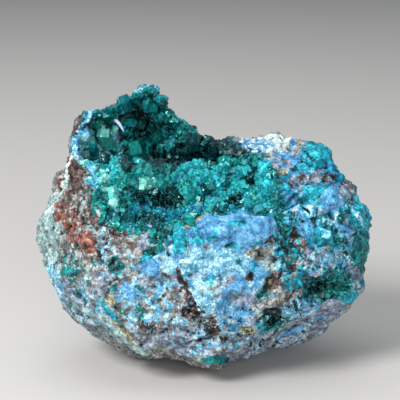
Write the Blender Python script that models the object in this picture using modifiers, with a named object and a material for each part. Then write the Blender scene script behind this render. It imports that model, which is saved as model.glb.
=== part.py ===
"""A hand-sized piece of dioptase on its matrix, standing on its broken base.

The stone is drawn in the frame of its display face: x runs to the right, y away from the viewer and z up
the face, with the foot of the outline at z = 0. Once every piece is made, the face leans back by FACE_LEAN.
The stone is then moved so that the origin is the middle of its bounding box, at the height of its base.
"""

import math

import bmesh
import bpy
import numpy as np
from mathutils import Matrix, Vector, noise
from mathutils.bvhtree import BVHTree

MM = 0.001
VIEW_DISTANCE = 200 * MM  # where the lines of sight start, well in front of the stone

# Driving dimensions
FACE_LEAN = math.radians(15)  # how far the display face leans back when the stone stands
FRONT_DEPTH = 23 * MM  # from the silhouette's plane to the belly
BACK_DEPTH = 26 * MM  # from the silhouette's plane to the back, before it is broken flat
TOP_LEAN = 8 * MM  # how much further back the top edge lies than the sides
TOP_LEAN_SPAN = (48 * MM, 74 * MM)  # heights where that lean starts and where it is whole
BASE_HEIGHT = 0.2 * MM  # where the level break of the base passes, above the foot of the outline
HEEL_DROP = 5 * MM  # how far the underside hangs down behind the foot, before it is broken off
HEEL_SPAN = (26 * MM, 8 * MM)  # heights where it starts to hang and where it hangs fully
FRONT_POLE = (2 * MM, 30 * MM)  # the belly, in the plane of the face
BODY_CENTRE = (0 * MM, 35.6 * MM)
SQUARENESS = 0.8  # below 1 fills the body out towards a block
FORMS_SET_IN = (0.05, 0.40)  # share of the way from the rim to the belly where the face's forms set in
HEEL_SETS_IN = (0.05, 0.35)  # the same for the heel, from the rim to the back
FLATS_SET_IN = (0.04, 0.30)  # the same for the broken flats, on both sides
BODY_VOXEL = 1.0 * MM
BED_VOXEL = 0.6 * MM
BED_FINENESS = 1.7  # triangles of a crust's bed for each triangle of the stone under it
MATRIX_TRIANGLES = 3600
PLAIN_WEIGHT = 0.72  # how readily the bare stone is simplified, against 1 under the crystals
SMALL_WEIGHT = 0.55  # the same for the walls of a small pocket

# The stone's outline as its display face shows it, anticlockwise from the right-hand corner, in millimetres
OUTLINE = [
    (45.6, 42.3), (45.1, 44.2), (43.4, 46.5), (42.0, 48.7), (42.8, 49.8), (42.3, 50.7), (40.6, 51.8),
    (38.9, 53.5), (36.7, 56.0), (35.3, 58.5), (34.4, 60.8), (31.6, 62.4), (28.3, 62.4), (25.5, 62.2),
    (23.2, 63.8), (20.7, 65.2), (18.2, 64.1), (14.3, 64.1), (11.2, 63.3), (7.6, 63.3), (4.2, 63.3),
    (1.1, 63.6), (-1.1, 64.7), (-3.1, 66.4), (-5.3, 68.0), (-7.6, 69.7), (-9.8, 72.0), (-11.8, 74.8),
    (-13.2, 77.6), (-14.8, 79.2), (-16.8, 79.8), (-18.2, 79.2), (-21.0, 77.3), (-23.8, 75.6),
    (-26.6, 73.6), (-30.0, 73.1), (-32.8, 72.0), (-35.3, 70.0), (-37.0, 68.0), (-36.1, 66.6),
    (-37.2, 64.1), (-37.0, 61.9), (-37.8, 59.9), (-38.1, 57.4), (-38.9, 54.6), (-40.0, 53.5),
    (-41.7, 52.6), (-42.6, 50.4), (-43.1, 47.9), (-43.1, 45.4), (-44.5, 43.1), (-45.4, 39.8),
    (-45.6, 36.1), (-45.1, 32.8), (-44.2, 28.6), (-43.1, 24.9), (-41.7, 21.8), (-40.6, 18.8),
    (-38.6, 16.0), (-35.6, 13.2), (-32.8, 10.9), (-29.4, 9.2), (-25.8, 7.3), (-22.4, 5.6), (-19.3, 4.8),
    (-16.8, 3.6), (-15.1, 2.5), (-12.6, 3.4), (-9.2, 3.6), (-6.2, 3.1), (-4.2, 1.1), (-2.0, 0.6),
    (0.8, 0.0), (3.6, 0.3), (5.3, 1.7), (7.6, 2.8), (11.2, 3.1), (14.8, 3.9), (18.8, 4.8), (22.4, 5.9),
    (26.0, 6.4), (29.4, 8.7), (32.8, 11.2), (36.1, 14.0), (38.9, 15.7), (41.2, 17.9), (42.8, 20.7),
    (43.4, 23.2), (44.0, 26.6), (44.2, 30.0), (44.5, 32.8), (45.1, 35.6), (45.4, 38.9),
]

# The mouth of the crystal-lined hollow, in millimetres: a lip in front, and a wall behind up to the peak
VUG_OUTLINE = [
    (13.2, 60.8), (9.8, 62.4), (4.8, 62.6), (0.0, 63.0), (-3.6, 65.4), (-7.6, 68.5), (-10.9, 72.0),
    (-12.6, 74.2), (-13.7, 76.4), (-16.2, 78.3), (-18.8, 77.0), (-23.8, 74.4), (-30.0, 72.0),
    (-33.3, 69.5), (-35.4, 66.4), (-36.0, 62.2), (-35.0, 58.5), (-30.8, 56.8), (-26.0, 57.7),
    (-21.0, 57.4), (-16.0, 56.8), (-11.2, 55.4), (-6.2, 56.6), (-1.4, 57.1), (3.6, 57.7), (8.4, 58.5),
]
VUG_CENTRE = (-13.2 * MM, 63.6 * MM)
VUG_POLE = (-11 * MM, 63 * MM)
VUG_DEPTH = 13 * MM
VUG_REACH = 32 * MM  # how far the cutter stands out in front of the mouth
VUG_LIP = -13 * MM  # depth of the mouth at its front lip
VUG_CREST = 5 * MM  # depth of the mouth at the top of its back wall
VUG_MOUTH_SPAN = (54 * MM, 76 * MM)  # heights where the mouth has the lip's depth and the crest's depth
VUG_SAG = 0.8  # how far the floor drops behind the lip, for each unit of depth
VUG_FLARE = 0.55  # below 1 widens the cutter in front of the mouth
VUG_FULLNESS = 0.8  # below 1 fills the hollow out behind the mouth

# Broad swells and dips of the display face: name, centre, half-widths, turn in degrees and height, in mm
FACE_FORMS = [
    ("belly", (5, 26), (20, 15), 0, 2.6),
    ("blue brow", (8, 40), (13, 5), 8, 2.6),
    ("druse recess", (-14, 45), (12, 8), 0, -4.5),
    ("left flank", (-34, 42), (7, 13), 20, 1.8),
    ("lower left shelf", (-22, 19), (15, 6), -35, 2.2),
    ("right boss", (36, 40), (9, 12), 0, 2.6),
    ("right gully", (24, 37), (3.5, 13), 0, -2.2),
    ("upper right knob", (30, 59), (6, 4.5), 0, 3.2),
    ("foot", (0.8, 3.4), (6.5, 4), 0, 5.0),
    ("brown cleft", (-4, 18), (8, 1.6), -62, -2.0),
    ("lower right hollow", (32, 24), (7, 3), 20, -1.5),
]

# Broken flats: name, outward normal, distance from the body's centre in millimetres
FRACTURES = [
    ("back", (0.05, 1.0, 0.08), 21.5),
    ("back left", (-0.72, 0.62, 0.18), 32.0),
    ("back right", (0.74, 0.64, -0.06), 33.5),
    ("back crown", (0.30, 0.66, 0.72), 29.5),
    ("back lower left", (-0.48, 0.50, -0.72), 33.0),
    ("back lower right", (0.52, 0.52, -0.68), 32.5),
    ("lower right underside", (0.42, -0.52, -0.74), 33.0),
    ("left cheek", (-0.78, -0.58, 0.16), 36.5),
]
FRACTURE_HARDNESS = 0.85  # 1 breaks each flat off dead level

# Roughness of the broken stone: wavelength and height, in millimetres, and whether it stands in ridges
ROUGHNESS = [(15, 1.5, False), (7, 0.9, True), (3.6, 0.55, False)]
NOISE_SHIFT = Vector((7.3, 3.1, 11.9))  # sets each of them apart from the one before, in wavelengths

# Knobs of the pale crust along the upper right rim: position in the face, radius, in millimetres
RIM_KNOBS = [
    ((10.5, 62.4), 1.3), ((13.4, 63.3), 1.5), ((16.4, 62.8), 1.3), ((18.6, 64.0), 1.5), ((20.8, 64.4), 1.7),
    ((23.0, 63.0), 1.4), ((14.8, 60.6), 1.2), ((18.0, 61.2), 1.5), ((21.2, 61.4), 1.4), ((8.4, 59.4), 1.3),
    ((11.6, 59.6), 1.1), ((-41.0, 51.8), 1.2), ((42.2, 50.2), 1.2), ((38.8, 19.6), 2.3),
]
KNOB_SINK = 0.1  # how far a knob's middle lies below the surface, in radii

# Crystals
CRUST_GAP = 0.35 * MM  # clearance between a crust and the stone that it grew on
CRUST_BED = 1.2 * MM  # thickness of the bed that joins the crystals
BED_ROOT = 0.35 * MM  # how far the bed starts inside the stone, before the stone is taken out of it
CRYSTAL_ROOT = 0.6 * MM  # how far above the stone's surface a crystal's foot lies
VUG_WALL_REACH = 2.2 * MM  # how far the hollow's rough wall may lie from the space that was cut for it
POCKET_WALL_REACH = 1.0 * MM  # the same for a small pocket
WALL_FACING = -0.3  # a wall faces the other way than the cutter that left it, by this cosine or more
DRUSE_FACING = -0.25  # the small crystals cover the stone where its normal's y is below this
DRUSE_BACK = 2 * MM  # and where it lies in front of this depth
PATCH_PASSES = 6  # rounds of evening out a bed's ragged edge
CAP_RISE = 0.62  # drop from one ring of a crystal's tip to the next, in radii: the steep rhombohedron
DRUSE_OUTLINE = [
    (-34.5, 57.6), (-36.4, 63.0), (-35.0, 68.6), (-30.0, 73.2), (-23.8, 75.8), (-17.0, 79.8), (-13.0, 77.4),
    (-9.0, 71.6), (-4.0, 67.0), (1.0, 63.8), (7.0, 63.6), (9.5, 61.6), (8.0, 58.8), (16.0, 58.0),
    (19.0, 57.2), (19.2, 51.0), (18.4, 45.4), (14.0, 44.8), (7.0, 45.1), (1.4, 43.7), (-3.6, 40.9),
    (-5.2, 34.4), (-8.1, 33.0), (-10.4, 36.1), (-15.4, 36.1), (-20.4, 38.6), (-25.2, 41.4),
    (-28.8, 46.0), (-30.6, 51.0),
]
CRYSTAL_SPACING = 2.0  # least distance between two scattered crystals, in radii
CRYSTAL_LENGTHS = (2.0, 3.0)  # of a scattered crystal, in radii
CRYSTAL_FOOT = 0.92  # a crystal's foot against its shoulders
CRYSTAL_JITTER = 0.28  # how much a scattered crystal leans at random
LEAST_UPRIGHT = 0.35  # a crystal that leans beyond this cosine is set more upright
VUG_LEAN = (0, -0.5, 0.3)  # what turns the crystals towards the viewer and the light
LIP_LEAN = (0, -0.2, 0.1)
POCKET_LEAN = (0, -0.6, 0.1)
SCATTER_TRIES = 12  # spots tried for each crystal wanted
CRUST_SEED = 11
POCKET_SEED = 23

# Leading crystals of the hollow: place in the face, radius, length, lean in x, y and z, twist in degrees
VUG_CRYSTALS = [
    ((-19.3, 61.6), 2.6, 7.6, (0.34, -0.70, 0.62), 8),
    ((-27.6, 62.6), 2.3, 8.6, (-0.18, -0.72, 0.67), 24),
    ((-31.0, 60.2), 1.9, 6.4, (-0.30, -0.80, 0.52), 40),
    ((-22.3, 74.2), 2.0, 5.2, (-0.20, -0.80, 0.56), 15),
    ((-16.2, 73.2), 2.1, 5.6, (0.20, -0.84, 0.50), 50),
    ((-20.8, 67.8), 1.8, 5.2, (0.10, -0.92, 0.38), 30),
    ((-12.6, 63.2), 2.3, 6.2, (-0.30, -0.85, 0.42), 12),
    ((-10.8, 70.4), 1.7, 4.6, (0.42, -0.80, 0.42), 44),
    ((-27.2, 69.6), 1.9, 5.2, (-0.42, -0.82, 0.38), 5),
    ((-6.6, 65.8), 1.8, 5.0, (0.24, -0.84, 0.48), 33),
    ((-2.6, 62.6), 2.2, 5.6, (0.10, -0.82, 0.56), 18),
    ((2.6, 60.4), 2.0, 5.4, (0.24, -0.80, 0.56), 51),
    ((-17.4, 58.4), 1.9, 4.4, (0.00, -0.90, 0.42), 27),
]
VUG_FILL = 34
VUG_FILL_RADII = (1.3 * MM, 2.2 * MM)
LIP_FILL = 40
LIP_FILL_RADII = (1.0 * MM, 1.7 * MM)

# Small pockets lined with crystals: name, centre, half-widths, depth, all in millimetres, and crystals
POCKETS = [
    ("right_pocket_crystals", (32.6, 22.8), (7.6, 4.0), 4.2, 9),
    ("lower_pocket_crystals", (19.2, 13.6), (4.2, 3.4), 3.6, 5),
]
POCKET_RADII = (0.8 * MM, 1.3 * MM)

# Colours, roughness and metallic value
FINISHES = {
    "matrix": ((0.30, 0.42, 0.50, 1.0), 0.85, 0.0),
    "crystals": ((0.01, 0.22, 0.16, 1.0), 0.15, 0.0),
}


def clear_scene():
    for obj in list(bpy.data.objects):
        bpy.data.objects.remove(obj, do_unlink=True)


def add_collection(name, helper=False):
    collection = bpy.data.collections.new(name)
    bpy.context.scene.collection.children.link(collection)
    collection.hide_render = helper
    return collection


def add_object(name, mesh, collection):
    obj = bpy.data.objects.new(name, mesh)
    collection.objects.link(obj)
    if collection.hide_render:
        obj.hide_render = True
        obj.display_type = "WIRE"
    return obj


def settle(obj):
    """Bakes the object's modifiers into its mesh."""
    graph = bpy.context.evaluated_depsgraph_get()
    mesh = bpy.data.meshes.new_from_object(obj.evaluated_get(graph))
    obj.modifiers.clear()
    obj.data = mesh


def apply_boolean(target, other, operation, solver="EXACT"):
    modifier = target.modifiers.new(operation.lower(), "BOOLEAN")
    modifier.operation = operation
    modifier.solver = solver
    modifier.object = other
    settle(target)


def make_material(name):
    colour, roughness, metallic = FINISHES[name]
    material = bpy.data.materials.new(name)
    material.use_nodes = True
    shader = material.node_tree.nodes["Principled BSDF"]
    shader.inputs["Base Color"].default_value = colour
    shader.inputs["Roughness"].default_value = roughness
    shader.inputs["Metallic"].default_value = metallic
    material.diffuse_color = colour
    return material


def vertex_array(mesh):
    flat = np.empty(len(mesh.vertices) * 3)
    mesh.vertices.foreach_get("co", flat)
    return flat.reshape(-1, 3)


def set_vertices(mesh, points):
    mesh.vertices.foreach_set("co", np.ascontiguousarray(points, dtype=np.float32).ravel())
    mesh.update()


def unit_ball(name, subdivisions, collection):
    bm = bmesh.new()
    bmesh.ops.create_icosphere(bm, subdivisions=subdivisions, radius=1.0)
    mesh = bpy.data.meshes.new(name)
    bm.to_mesh(mesh)
    bm.free()
    return add_object(name, mesh, collection)


def outline_points(outline, centre, angles):
    """Where the outline lies in each direction about the centre."""
    offsets = np.array(outline) * MM - np.array(centre)
    around = np.arctan2(offsets[:, 1], offsets[:, 0])
    reach = np.hypot(offsets[:, 0], offsets[:, 1])
    order = np.argsort(around)
    radius = np.interp(angles, around[order], reach[order], period=2 * math.pi)
    return np.stack([centre[0] + radius * np.cos(angles), centre[1] + radius * np.sin(angles)], axis=1)


def smooth_step(value, low, high):
    share = np.clip((value - low) / (high - low), 0.0, 1.0)
    return share * share * (3 - 2 * share)


def form_weight(points, centre, half_widths, turn):
    """A bell-shaped weight about a centre in the face, with half-widths along its own turned axes."""
    angle = math.radians(turn)
    dx = points[:, 0] - centre[0] * MM
    dz = points[:, 2] - centre[1] * MM
    along = (dx * math.cos(angle) + dz * math.sin(angle)) / (half_widths[0] * MM)
    across = (-dx * math.sin(angle) + dz * math.cos(angle)) / (half_widths[1] * MM)
    return np.exp(-(along ** 2 + across ** 2))


def shape_body(body):
    """Maps a ball onto the stone's outline, swells and dips its face and breaks its back off flat."""
    ball = vertex_array(body.data)
    angles = np.arctan2(ball[:, 2], ball[:, 0])
    share = np.hypot(ball[:, 0], ball[:, 2])[:, None] ** SQUARENESS
    rim = outline_points(OUTLINE, BODY_CENTRE, angles)
    front = ball[:, 1] < 0
    pole = np.where(front[:, None], np.array(FRONT_POLE), np.array(BODY_CENTRE))
    plane = pole + (rim - pole) * share
    middle = TOP_LEAN * smooth_step(plane[:, 1], *TOP_LEAN_SPAN)
    depth = np.abs(ball[:, 1]) ** SQUARENESS
    deep = np.where(front, -FRONT_DEPTH, BACK_DEPTH) * depth
    points = np.stack([plane[:, 0], middle + deep, plane[:, 1]], axis=1)

    facing = smooth_step(-ball[:, 1], *FORMS_SET_IN)
    for _, centre, half_widths, turn, height in FACE_FORMS:
        points[:, 1] -= height * MM * facing * form_weight(points, centre, half_widths, turn)

    heel = smooth_step(ball[:, 1], *HEEL_SETS_IN) * smooth_step(points[:, 2], *HEEL_SPAN)
    points[:, 2] -= HEEL_DROP * heel
    hold = smooth_step(np.abs(ball[:, 1]), *FLATS_SET_IN)
    centre = np.array([BODY_CENTRE[0], 0.0, BODY_CENTRE[1]])
    for _, direction, distance in FRACTURES:
        normal = np.array(direction) / np.linalg.norm(direction)
        excess = np.maximum((points - centre) @ normal - distance * MM, 0.0)
        points -= (FRACTURE_HARDNESS * excess * hold)[:, None] * normal
    set_vertices(body.data, points)


def make_vug_cutter(helpers):
    """The hollow's space: open towards the viewer, and dropping away behind its lip."""
    cutter = unit_ball("vug cutter", 5, helpers)
    ball = vertex_array(cutter.data)
    angles = np.arctan2(ball[:, 2], ball[:, 0])
    rim = outline_points(VUG_OUTLINE, VUG_CENTRE, angles)
    front = ball[:, 1] < 0
    power = np.where(front, VUG_FLARE, VUG_FULLNESS)[:, None]
    share = np.hypot(ball[:, 0], ball[:, 2])[:, None] ** power
    plane = np.array(VUG_POLE) + (rim - np.array(VUG_POLE)) * share
    mouth = VUG_LIP + (VUG_CREST - VUG_LIP) * smooth_step(plane[:, 1], *VUG_MOUTH_SPAN)
    into = VUG_DEPTH * np.abs(ball[:, 1]) ** VUG_FULLNESS
    depth = np.where(front, -VUG_REACH * np.sqrt(np.abs(ball[:, 1])), into)
    drop = np.where(front, 0.0, VUG_SAG * into)
    set_vertices(cutter.data, np.stack([plane[:, 0], mouth + depth, plane[:, 1] - drop], axis=1))
    return cutter


def face_tree(obj):
    bm = bmesh.new()
    bm.from_mesh(obj.data)
    tree = BVHTree.FromBMesh(bm)
    bm.free()
    return tree


def face_point(tree, place):
    """Where the viewer's line of sight at a place in the face meets the surface, and its normal there."""
    start = Vector((place[0] * MM, -VIEW_DISTANCE, place[1] * MM))
    point, normal, _, _ = tree.ray_cast(start, Vector((0, 1, 0)))
    if point is None:
        point, normal, _, _ = tree.find_nearest(Vector((place[0] * MM, 0, place[1] * MM)))
    return point, normal


def cut_pockets(body, helpers):
    tree = face_tree(body)
    cutters = []
    for name, place, half_widths, depth, _ in POCKETS:
        point, _ = face_point(tree, place)
        cutter = unit_ball(f"{name} cutter", 3, helpers)
        scale = np.array([half_widths[0], depth, half_widths[1]]) * MM
        set_vertices(cutter.data, vertex_array(cutter.data) * scale + np.array(point))
        apply_boolean(body, cutter, "DIFFERENCE")
        cutters.append(cutter)
    return cutters


def remesh(obj, voxel):
    modifier = obj.modifiers.new("even mesh", "REMESH")
    modifier.mode = "VOXEL"
    modifier.voxel_size = voxel
    settle(obj)


def roughen(obj):
    """Pushes the surface in and out along its normals by a few octaves of noise."""
    mesh = obj.data
    points = vertex_array(mesh)
    normals = np.array([vertex.normal for vertex in mesh.vertices])
    push = np.zeros(len(points))
    for number, (wavelength, height, ridged) in enumerate(ROUGHNESS):
        shift = NOISE_SHIFT * number
        for index, point in enumerate(points):
            value = noise.noise(Vector(point) / (wavelength * MM) + shift)
            push[index] += height * MM * (1 - 2 * abs(value) if ridged else value)
    set_vertices(mesh, points + (push - push.mean())[:, None] * normals)


def thin_out(obj, triangles, hidden=(), small=()):
    """Simplifies the mesh to a number of triangles: more where a crust hides it, less in a small hollow."""
    bm = bmesh.new()
    bm.from_mesh(obj.data)
    bmesh.ops.triangulate(bm, faces=bm.faces)
    count = len(bm.faces)
    bm.to_mesh(obj.data)
    bm.free()
    group = obj.vertex_groups.new(name="thin out")
    group.add(list(range(len(obj.data.vertices))), PLAIN_WEIGHT, "REPLACE")
    group.add(list(hidden), 1.0, "REPLACE")
    group.add(list(small), SMALL_WEIGHT, "REPLACE")
    modifier = obj.modifiers.new("thin out", "DECIMATE")
    modifier.ratio = triangles / count
    modifier.vertex_group = group.name
    modifier.vertex_group_factor = 1.0
    settle(obj)
    obj.vertex_groups.clear()


def add_knobs(body, helpers):
    """Unites the rim's rounded knobs with the stone."""
    tree = face_tree(body)
    knobs = []
    for number, (place, radius) in enumerate(RIM_KNOBS):
        point, normal = face_point(tree, place)
        knob = unit_ball(f"rim knob {number}", 1, helpers)
        middle = point + normal * -radius * MM * KNOB_SINK
        set_vertices(knob.data, vertex_array(knob.data) * radius * MM + np.array(middle))
        knobs.append(knob)
    for knob in knobs:
        apply_boolean(body, knob, "UNION")


def cut_base(body):
    """Breaks the underside off level, so that the stone stands."""
    up = Vector((0, -math.sin(FACE_LEAN), math.cos(FACE_LEAN)))
    bm = bmesh.new()
    bm.from_mesh(body.data)
    geometry = bm.verts[:] + bm.edges[:] + bm.faces[:]
    cut = bmesh.ops.bisect_plane(bm, geom=geometry, plane_co=up * BASE_HEIGHT, plane_no=up, clear_inner=True)
    edges = [item for item in cut["geom_cut"] if isinstance(item, bmesh.types.BMEdge)]
    bmesh.ops.edgeloop_fill(bm, edges=edges)
    bmesh.ops.triangulate(bm, faces=[face for face in bm.faces if len(face.verts) > 3])
    bmesh.ops.recalc_face_normals(bm, faces=bm.faces)
    bm.to_mesh(body.data)
    bm.free()


def keep_outer_skin(obj):
    """Drops loose bits and the skins of holes that are shut inside: what is left is the largest shell."""
    bm = bmesh.new()
    bm.from_mesh(obj.data)
    unseen = set(bm.verts)
    shells = []
    while unseen:
        stack = [unseen.pop()]
        shell = set(stack)
        while stack:
            for edge in stack.pop().link_edges:
                for vertex in edge.verts:
                    if vertex in unseen:
                        unseen.remove(vertex)
                        shell.add(vertex)
                        stack.append(vertex)
        shells.append(shell)
    largest = max(shells, key=len)
    loose = [vertex for vertex in bm.verts if vertex not in largest]
    bmesh.ops.delete(bm, geom=loose, context="VERTS")
    bm.to_mesh(obj.data)
    bm.free()


def inside_outline(outline, x, z):
    """Whether a point of the face lies inside a closed outline, all in millimetres."""
    inside = False
    for (x0, z0), (x1, z1) in zip(outline, outline[1:] + outline[:1]):
        if (z0 > z) != (z1 > z) and x < x0 + (z - z0) * (x1 - x0) / (z1 - z0):
            inside = not inside
    return inside


def lines_hollow(tree, point, normal, reach):
    """Whether a point of the stone lies on the wall that a cutter left."""
    _, cutter_normal, _, distance = tree.find_nearest(point)
    return distance < reach and normal.dot(cutter_normal) < WALL_FACING


def in_druse(point, normal):
    """Whether a point of the stone lies where the small crystals cover the display face."""
    if normal.y > DRUSE_FACING or point.y > DRUSE_BACK:
        return False
    return inside_outline(DRUSE_OUTLINE, point.x / MM, point.z / MM)


def wall_vertices(body, tree, reach):
    """The stone's vertices on the wall that a cutter left."""
    vertices = body.data.vertices
    return [vertex.index for vertex in vertices if lines_hollow(tree, vertex.co, vertex.normal, reach)]


def druse_vertices(body):
    return [vertex.index for vertex in body.data.vertices if in_druse(vertex.co, vertex.normal)]


def joined_patch(bm, chosen):
    """The largest joined patch of the chosen faces, with its edge evened out and no corner-only links."""
    patch = {face for face in bm.faces if face.index in chosen}
    for _ in range(PATCH_PASSES):
        for face in bm.faces:
            around = [other for edge in face.edges for other in edge.link_faces if other != face]
            beside = sum(other in patch for other in around)
            if beside >= 2:
                patch.add(face)
            elif beside <= 1:
                patch.discard(face)
        for vertex in bm.verts:
            rim = [sum(face in patch for face in edge.link_faces) == 1 for edge in vertex.link_edges]
            if sum(rim) > 2:
                patch.update(vertex.link_faces)
    largest = set()
    unseen = set(patch)
    while unseen:
        stack = [unseen.pop()]
        region = set(stack)
        while stack:
            for edge in stack.pop().edges:
                for face in edge.link_faces:
                    if face in unseen:
                        unseen.remove(face)
                        region.add(face)
                        stack.append(face)
        largest = max(largest, region, key=len)
    return largest


def make_bed(name, body, chosen, collection):
    """A sheet over the chosen faces: it starts inside the stone and stands out by the bed's thickness."""
    bm = bmesh.new()
    bm.from_mesh(body.data)
    patch = joined_patch(bm, chosen)
    triangles = BED_FINENESS * len(patch)
    unwanted = [face for face in bm.faces if face not in patch]
    bmesh.ops.delete(bm, geom=unwanted, context="FACES")
    mesh = bpy.data.meshes.new(name)
    bm.to_mesh(mesh)
    bm.free()
    bed = add_object(name, mesh, collection)
    modifier = bed.modifiers.new("bed", "SOLIDIFY")
    modifier.thickness = CRUST_BED + CRUST_GAP + BED_ROOT
    modifier.offset = (CRUST_BED + CRUST_GAP - BED_ROOT) / modifier.thickness
    settle(bed)
    remesh(bed, BED_VOXEL)
    thin_out(bed, triangles)
    return bed


def make_crystal(name, helpers, point, direction, radius, length, twist):
    """A six-sided prism with the three rhombohedral faces of dioptase at its tip."""
    bm = bmesh.new()
    made = bmesh.ops.create_cone(
        bm, cap_ends=True, segments=6, radius1=radius * CRYSTAL_FOOT, radius2=radius, depth=length
    )
    corners = sorted(
        (vertex for vertex in made["verts"] if vertex.co.z > 0),
        key=lambda vertex: math.atan2(vertex.co.y, vertex.co.x),
    )
    step = CAP_RISE * radius
    for number, vertex in enumerate(corners):
        vertex.co.z -= step * (1 if number % 2 else 2)
    top = next(face for face in corners[0].link_faces if all(vertex in corners for vertex in face.verts))
    tip = bmesh.ops.poke(bm, faces=[top])["verts"][0]
    tip.co = Vector((0, 0, length / 2))
    turn = Vector((0, 0, 1)).rotation_difference(Vector(direction)).to_matrix().to_4x4()
    place = Matrix.Translation(point) @ turn @ Matrix.Rotation(twist, 4, "Z")
    shift = Matrix.Translation((0, 0, length / 2))
    bmesh.ops.transform(bm, matrix=place @ shift, verts=bm.verts)
    mesh = bpy.data.meshes.new(name)
    bm.to_mesh(mesh)
    bm.free()
    return add_object(name, mesh, helpers)


def scatter(body, chosen, count, radii, rng, taken):
    """Seeded random spots on the chosen faces, kept apart from those already taken."""
    faces = [body.data.polygons[index] for index in sorted(chosen)]
    areas = np.array([face.area for face in faces])
    spots = []
    for _ in range(count * SCATTER_TRIES):
        face = faces[rng.choice(len(faces), p=areas / areas.sum())]
        corners = [body.data.vertices[index].co for index in face.vertices]
        a, b = sorted(rng.random(2))
        point = corners[0] * a + corners[1] * (b - a) + corners[2] * (1 - b)
        radius = rng.uniform(*radii)
        if all((point - other).length > CRYSTAL_SPACING * 0.5 * (radius + size) for other, size in taken):
            taken.append((point, radius))
            spots.append((point, face.normal.copy(), radius))
        if len(spots) == count:
            break
    return spots


def scattered_crystals(name, helpers, spots, rng, towards):
    """Raises a short crystal on each spot, leaning a little at random and towards the viewer."""
    crystals = []
    for point, normal, radius in spots:
        jitter = Vector(rng.normal(0, CRYSTAL_JITTER, 3))
        direction = (normal + Vector(towards) + jitter).normalized()
        if direction.dot(normal) < LEAST_UPRIGHT:
            direction = (direction + normal).normalized()
        root = point + normal * CRYSTAL_ROOT
        length = radius * rng.uniform(*CRYSTAL_LENGTHS)
        twist = rng.uniform(0, math.pi / 3)
        crystals.append(make_crystal(name, helpers, root, direction, radius, length, twist))
    return crystals


def leading_crystals(tree, helpers):
    crystals = []
    for place, radius, length, direction, twist in VUG_CRYSTALS:
        point, normal = face_point(tree, place)
        root = point + normal * CRYSTAL_ROOT
        lean = Vector(direction).normalized()
        turn = math.radians(twist)
        crystals.append(make_crystal("leading crystal", helpers, root, lean, radius * MM, length * MM, turn))
    return crystals


def finish_crust(bed, crystals, stone_space):
    """Unites a crust's bed and crystals, and takes the stone with its clearance out of them."""
    for crystal in crystals:
        apply_boolean(bed, crystal, "UNION")
    # The exact solver loses the crust here, where the swollen stone folds over itself in its sharp corners.
    apply_boolean(bed, stone_space, "DIFFERENCE", solver="MANIFOLD")
    keep_outer_skin(bed)


def make_stone_space(body, helpers):
    """The stone swollen by the crusts' clearance."""
    space = add_object("stone space", body.data.copy(), helpers)
    points = vertex_array(space.data)
    normals = np.array([vertex.normal for vertex in body.data.vertices])
    set_vertices(space.data, points + normals * CRUST_GAP)
    return space


def make_main_crust(body, vug_tree, stone_space, stone, helpers):
    faces = body.data.polygons
    in_vug = {f.index for f in faces if lines_hollow(vug_tree, f.center, f.normal, VUG_WALL_REACH)}
    on_face = {face.index for face in faces if in_druse(face.center, face.normal)} - in_vug
    bed = make_bed("dioptase_crust", body, in_vug | on_face, stone)
    rng = np.random.default_rng(CRUST_SEED)
    tree = face_tree(body)
    crystals = leading_crystals(tree, helpers)
    taken = [(face_point(tree, place)[0], radius * MM) for place, radius, _, _, _ in VUG_CRYSTALS]
    spots = scatter(body, in_vug, VUG_FILL, VUG_FILL_RADII, rng, taken)
    crystals += scattered_crystals("vug crystal", helpers, spots, rng, VUG_LEAN)
    spots = scatter(body, on_face, LIP_FILL, LIP_FILL_RADII, rng, taken)
    crystals += scattered_crystals("lip crystal", helpers, spots, rng, LIP_LEAN)
    finish_crust(bed, crystals, stone_space)
    return bed


def make_pocket_crusts(body, cutters, stone_space, stone, helpers):
    crusts = []
    rng = np.random.default_rng(POCKET_SEED)
    for (name, _, _, _, count), cutter in zip(POCKETS, cutters):
        cutter_tree = face_tree(cutter)
        faces = body.data.polygons
        walls = {f.index for f in faces if lines_hollow(cutter_tree, f.center, f.normal, POCKET_WALL_REACH)}
        bed = make_bed(name, body, walls, stone)
        spots = scatter(body, walls, count, POCKET_RADII, rng, [])
        crystals = scattered_crystals(f"{name} one", helpers, spots, rng, POCKET_LEAN)
        finish_crust(bed, crystals, stone_space)
        crusts.append(bed)
    return crusts


def stand_up(pieces):
    """Leans the face back, and puts the origin in the middle of the bounding box, at the base."""
    lean = Matrix.Rotation(-FACE_LEAN, 4, "X")
    for piece in pieces:
        piece.data.transform(lean)
    points = np.concatenate([vertex_array(piece.data) for piece in pieces])
    low = points.min(axis=0)
    high = points.max(axis=0)
    middle = (low + high) / 2
    for piece in pieces:
        piece.data.transform(Matrix.Translation((-middle[0], -middle[1], -low[2])))
        piece.data.update()


def main():
    clear_scene()
    stone = add_collection("dioptase specimen")
    helpers = add_collection("helpers", helper=True)

    body = unit_ball("matrix", 6, stone)
    shape_body(body)
    vug_cutter = make_vug_cutter(helpers)
    apply_boolean(body, vug_cutter, "DIFFERENCE")
    pocket_cutters = cut_pockets(body, helpers)
    remesh(body, BODY_VOXEL)
    roughen(body)
    vug_tree = face_tree(vug_cutter)
    hidden = wall_vertices(body, vug_tree, VUG_WALL_REACH) + druse_vertices(body)
    small = []
    for cutter in pocket_cutters:
        small += wall_vertices(body, face_tree(cutter), VUG_WALL_REACH)
    thin_out(body, MATRIX_TRIANGLES, hidden, small)
    add_knobs(body, helpers)
    cut_base(body)
    keep_outer_skin(body)

    stone_space = make_stone_space(body, helpers)
    crust = make_main_crust(body, vug_tree, stone_space, stone, helpers)
    pieces = [body, crust] + make_pocket_crusts(body, pocket_cutters, stone_space, stone, helpers)
    stand_up(pieces)
    for piece in pieces:
        piece.data.materials.clear()
        piece.data.materials.append(make_material("matrix" if piece == body else "crystals"))


main()
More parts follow.
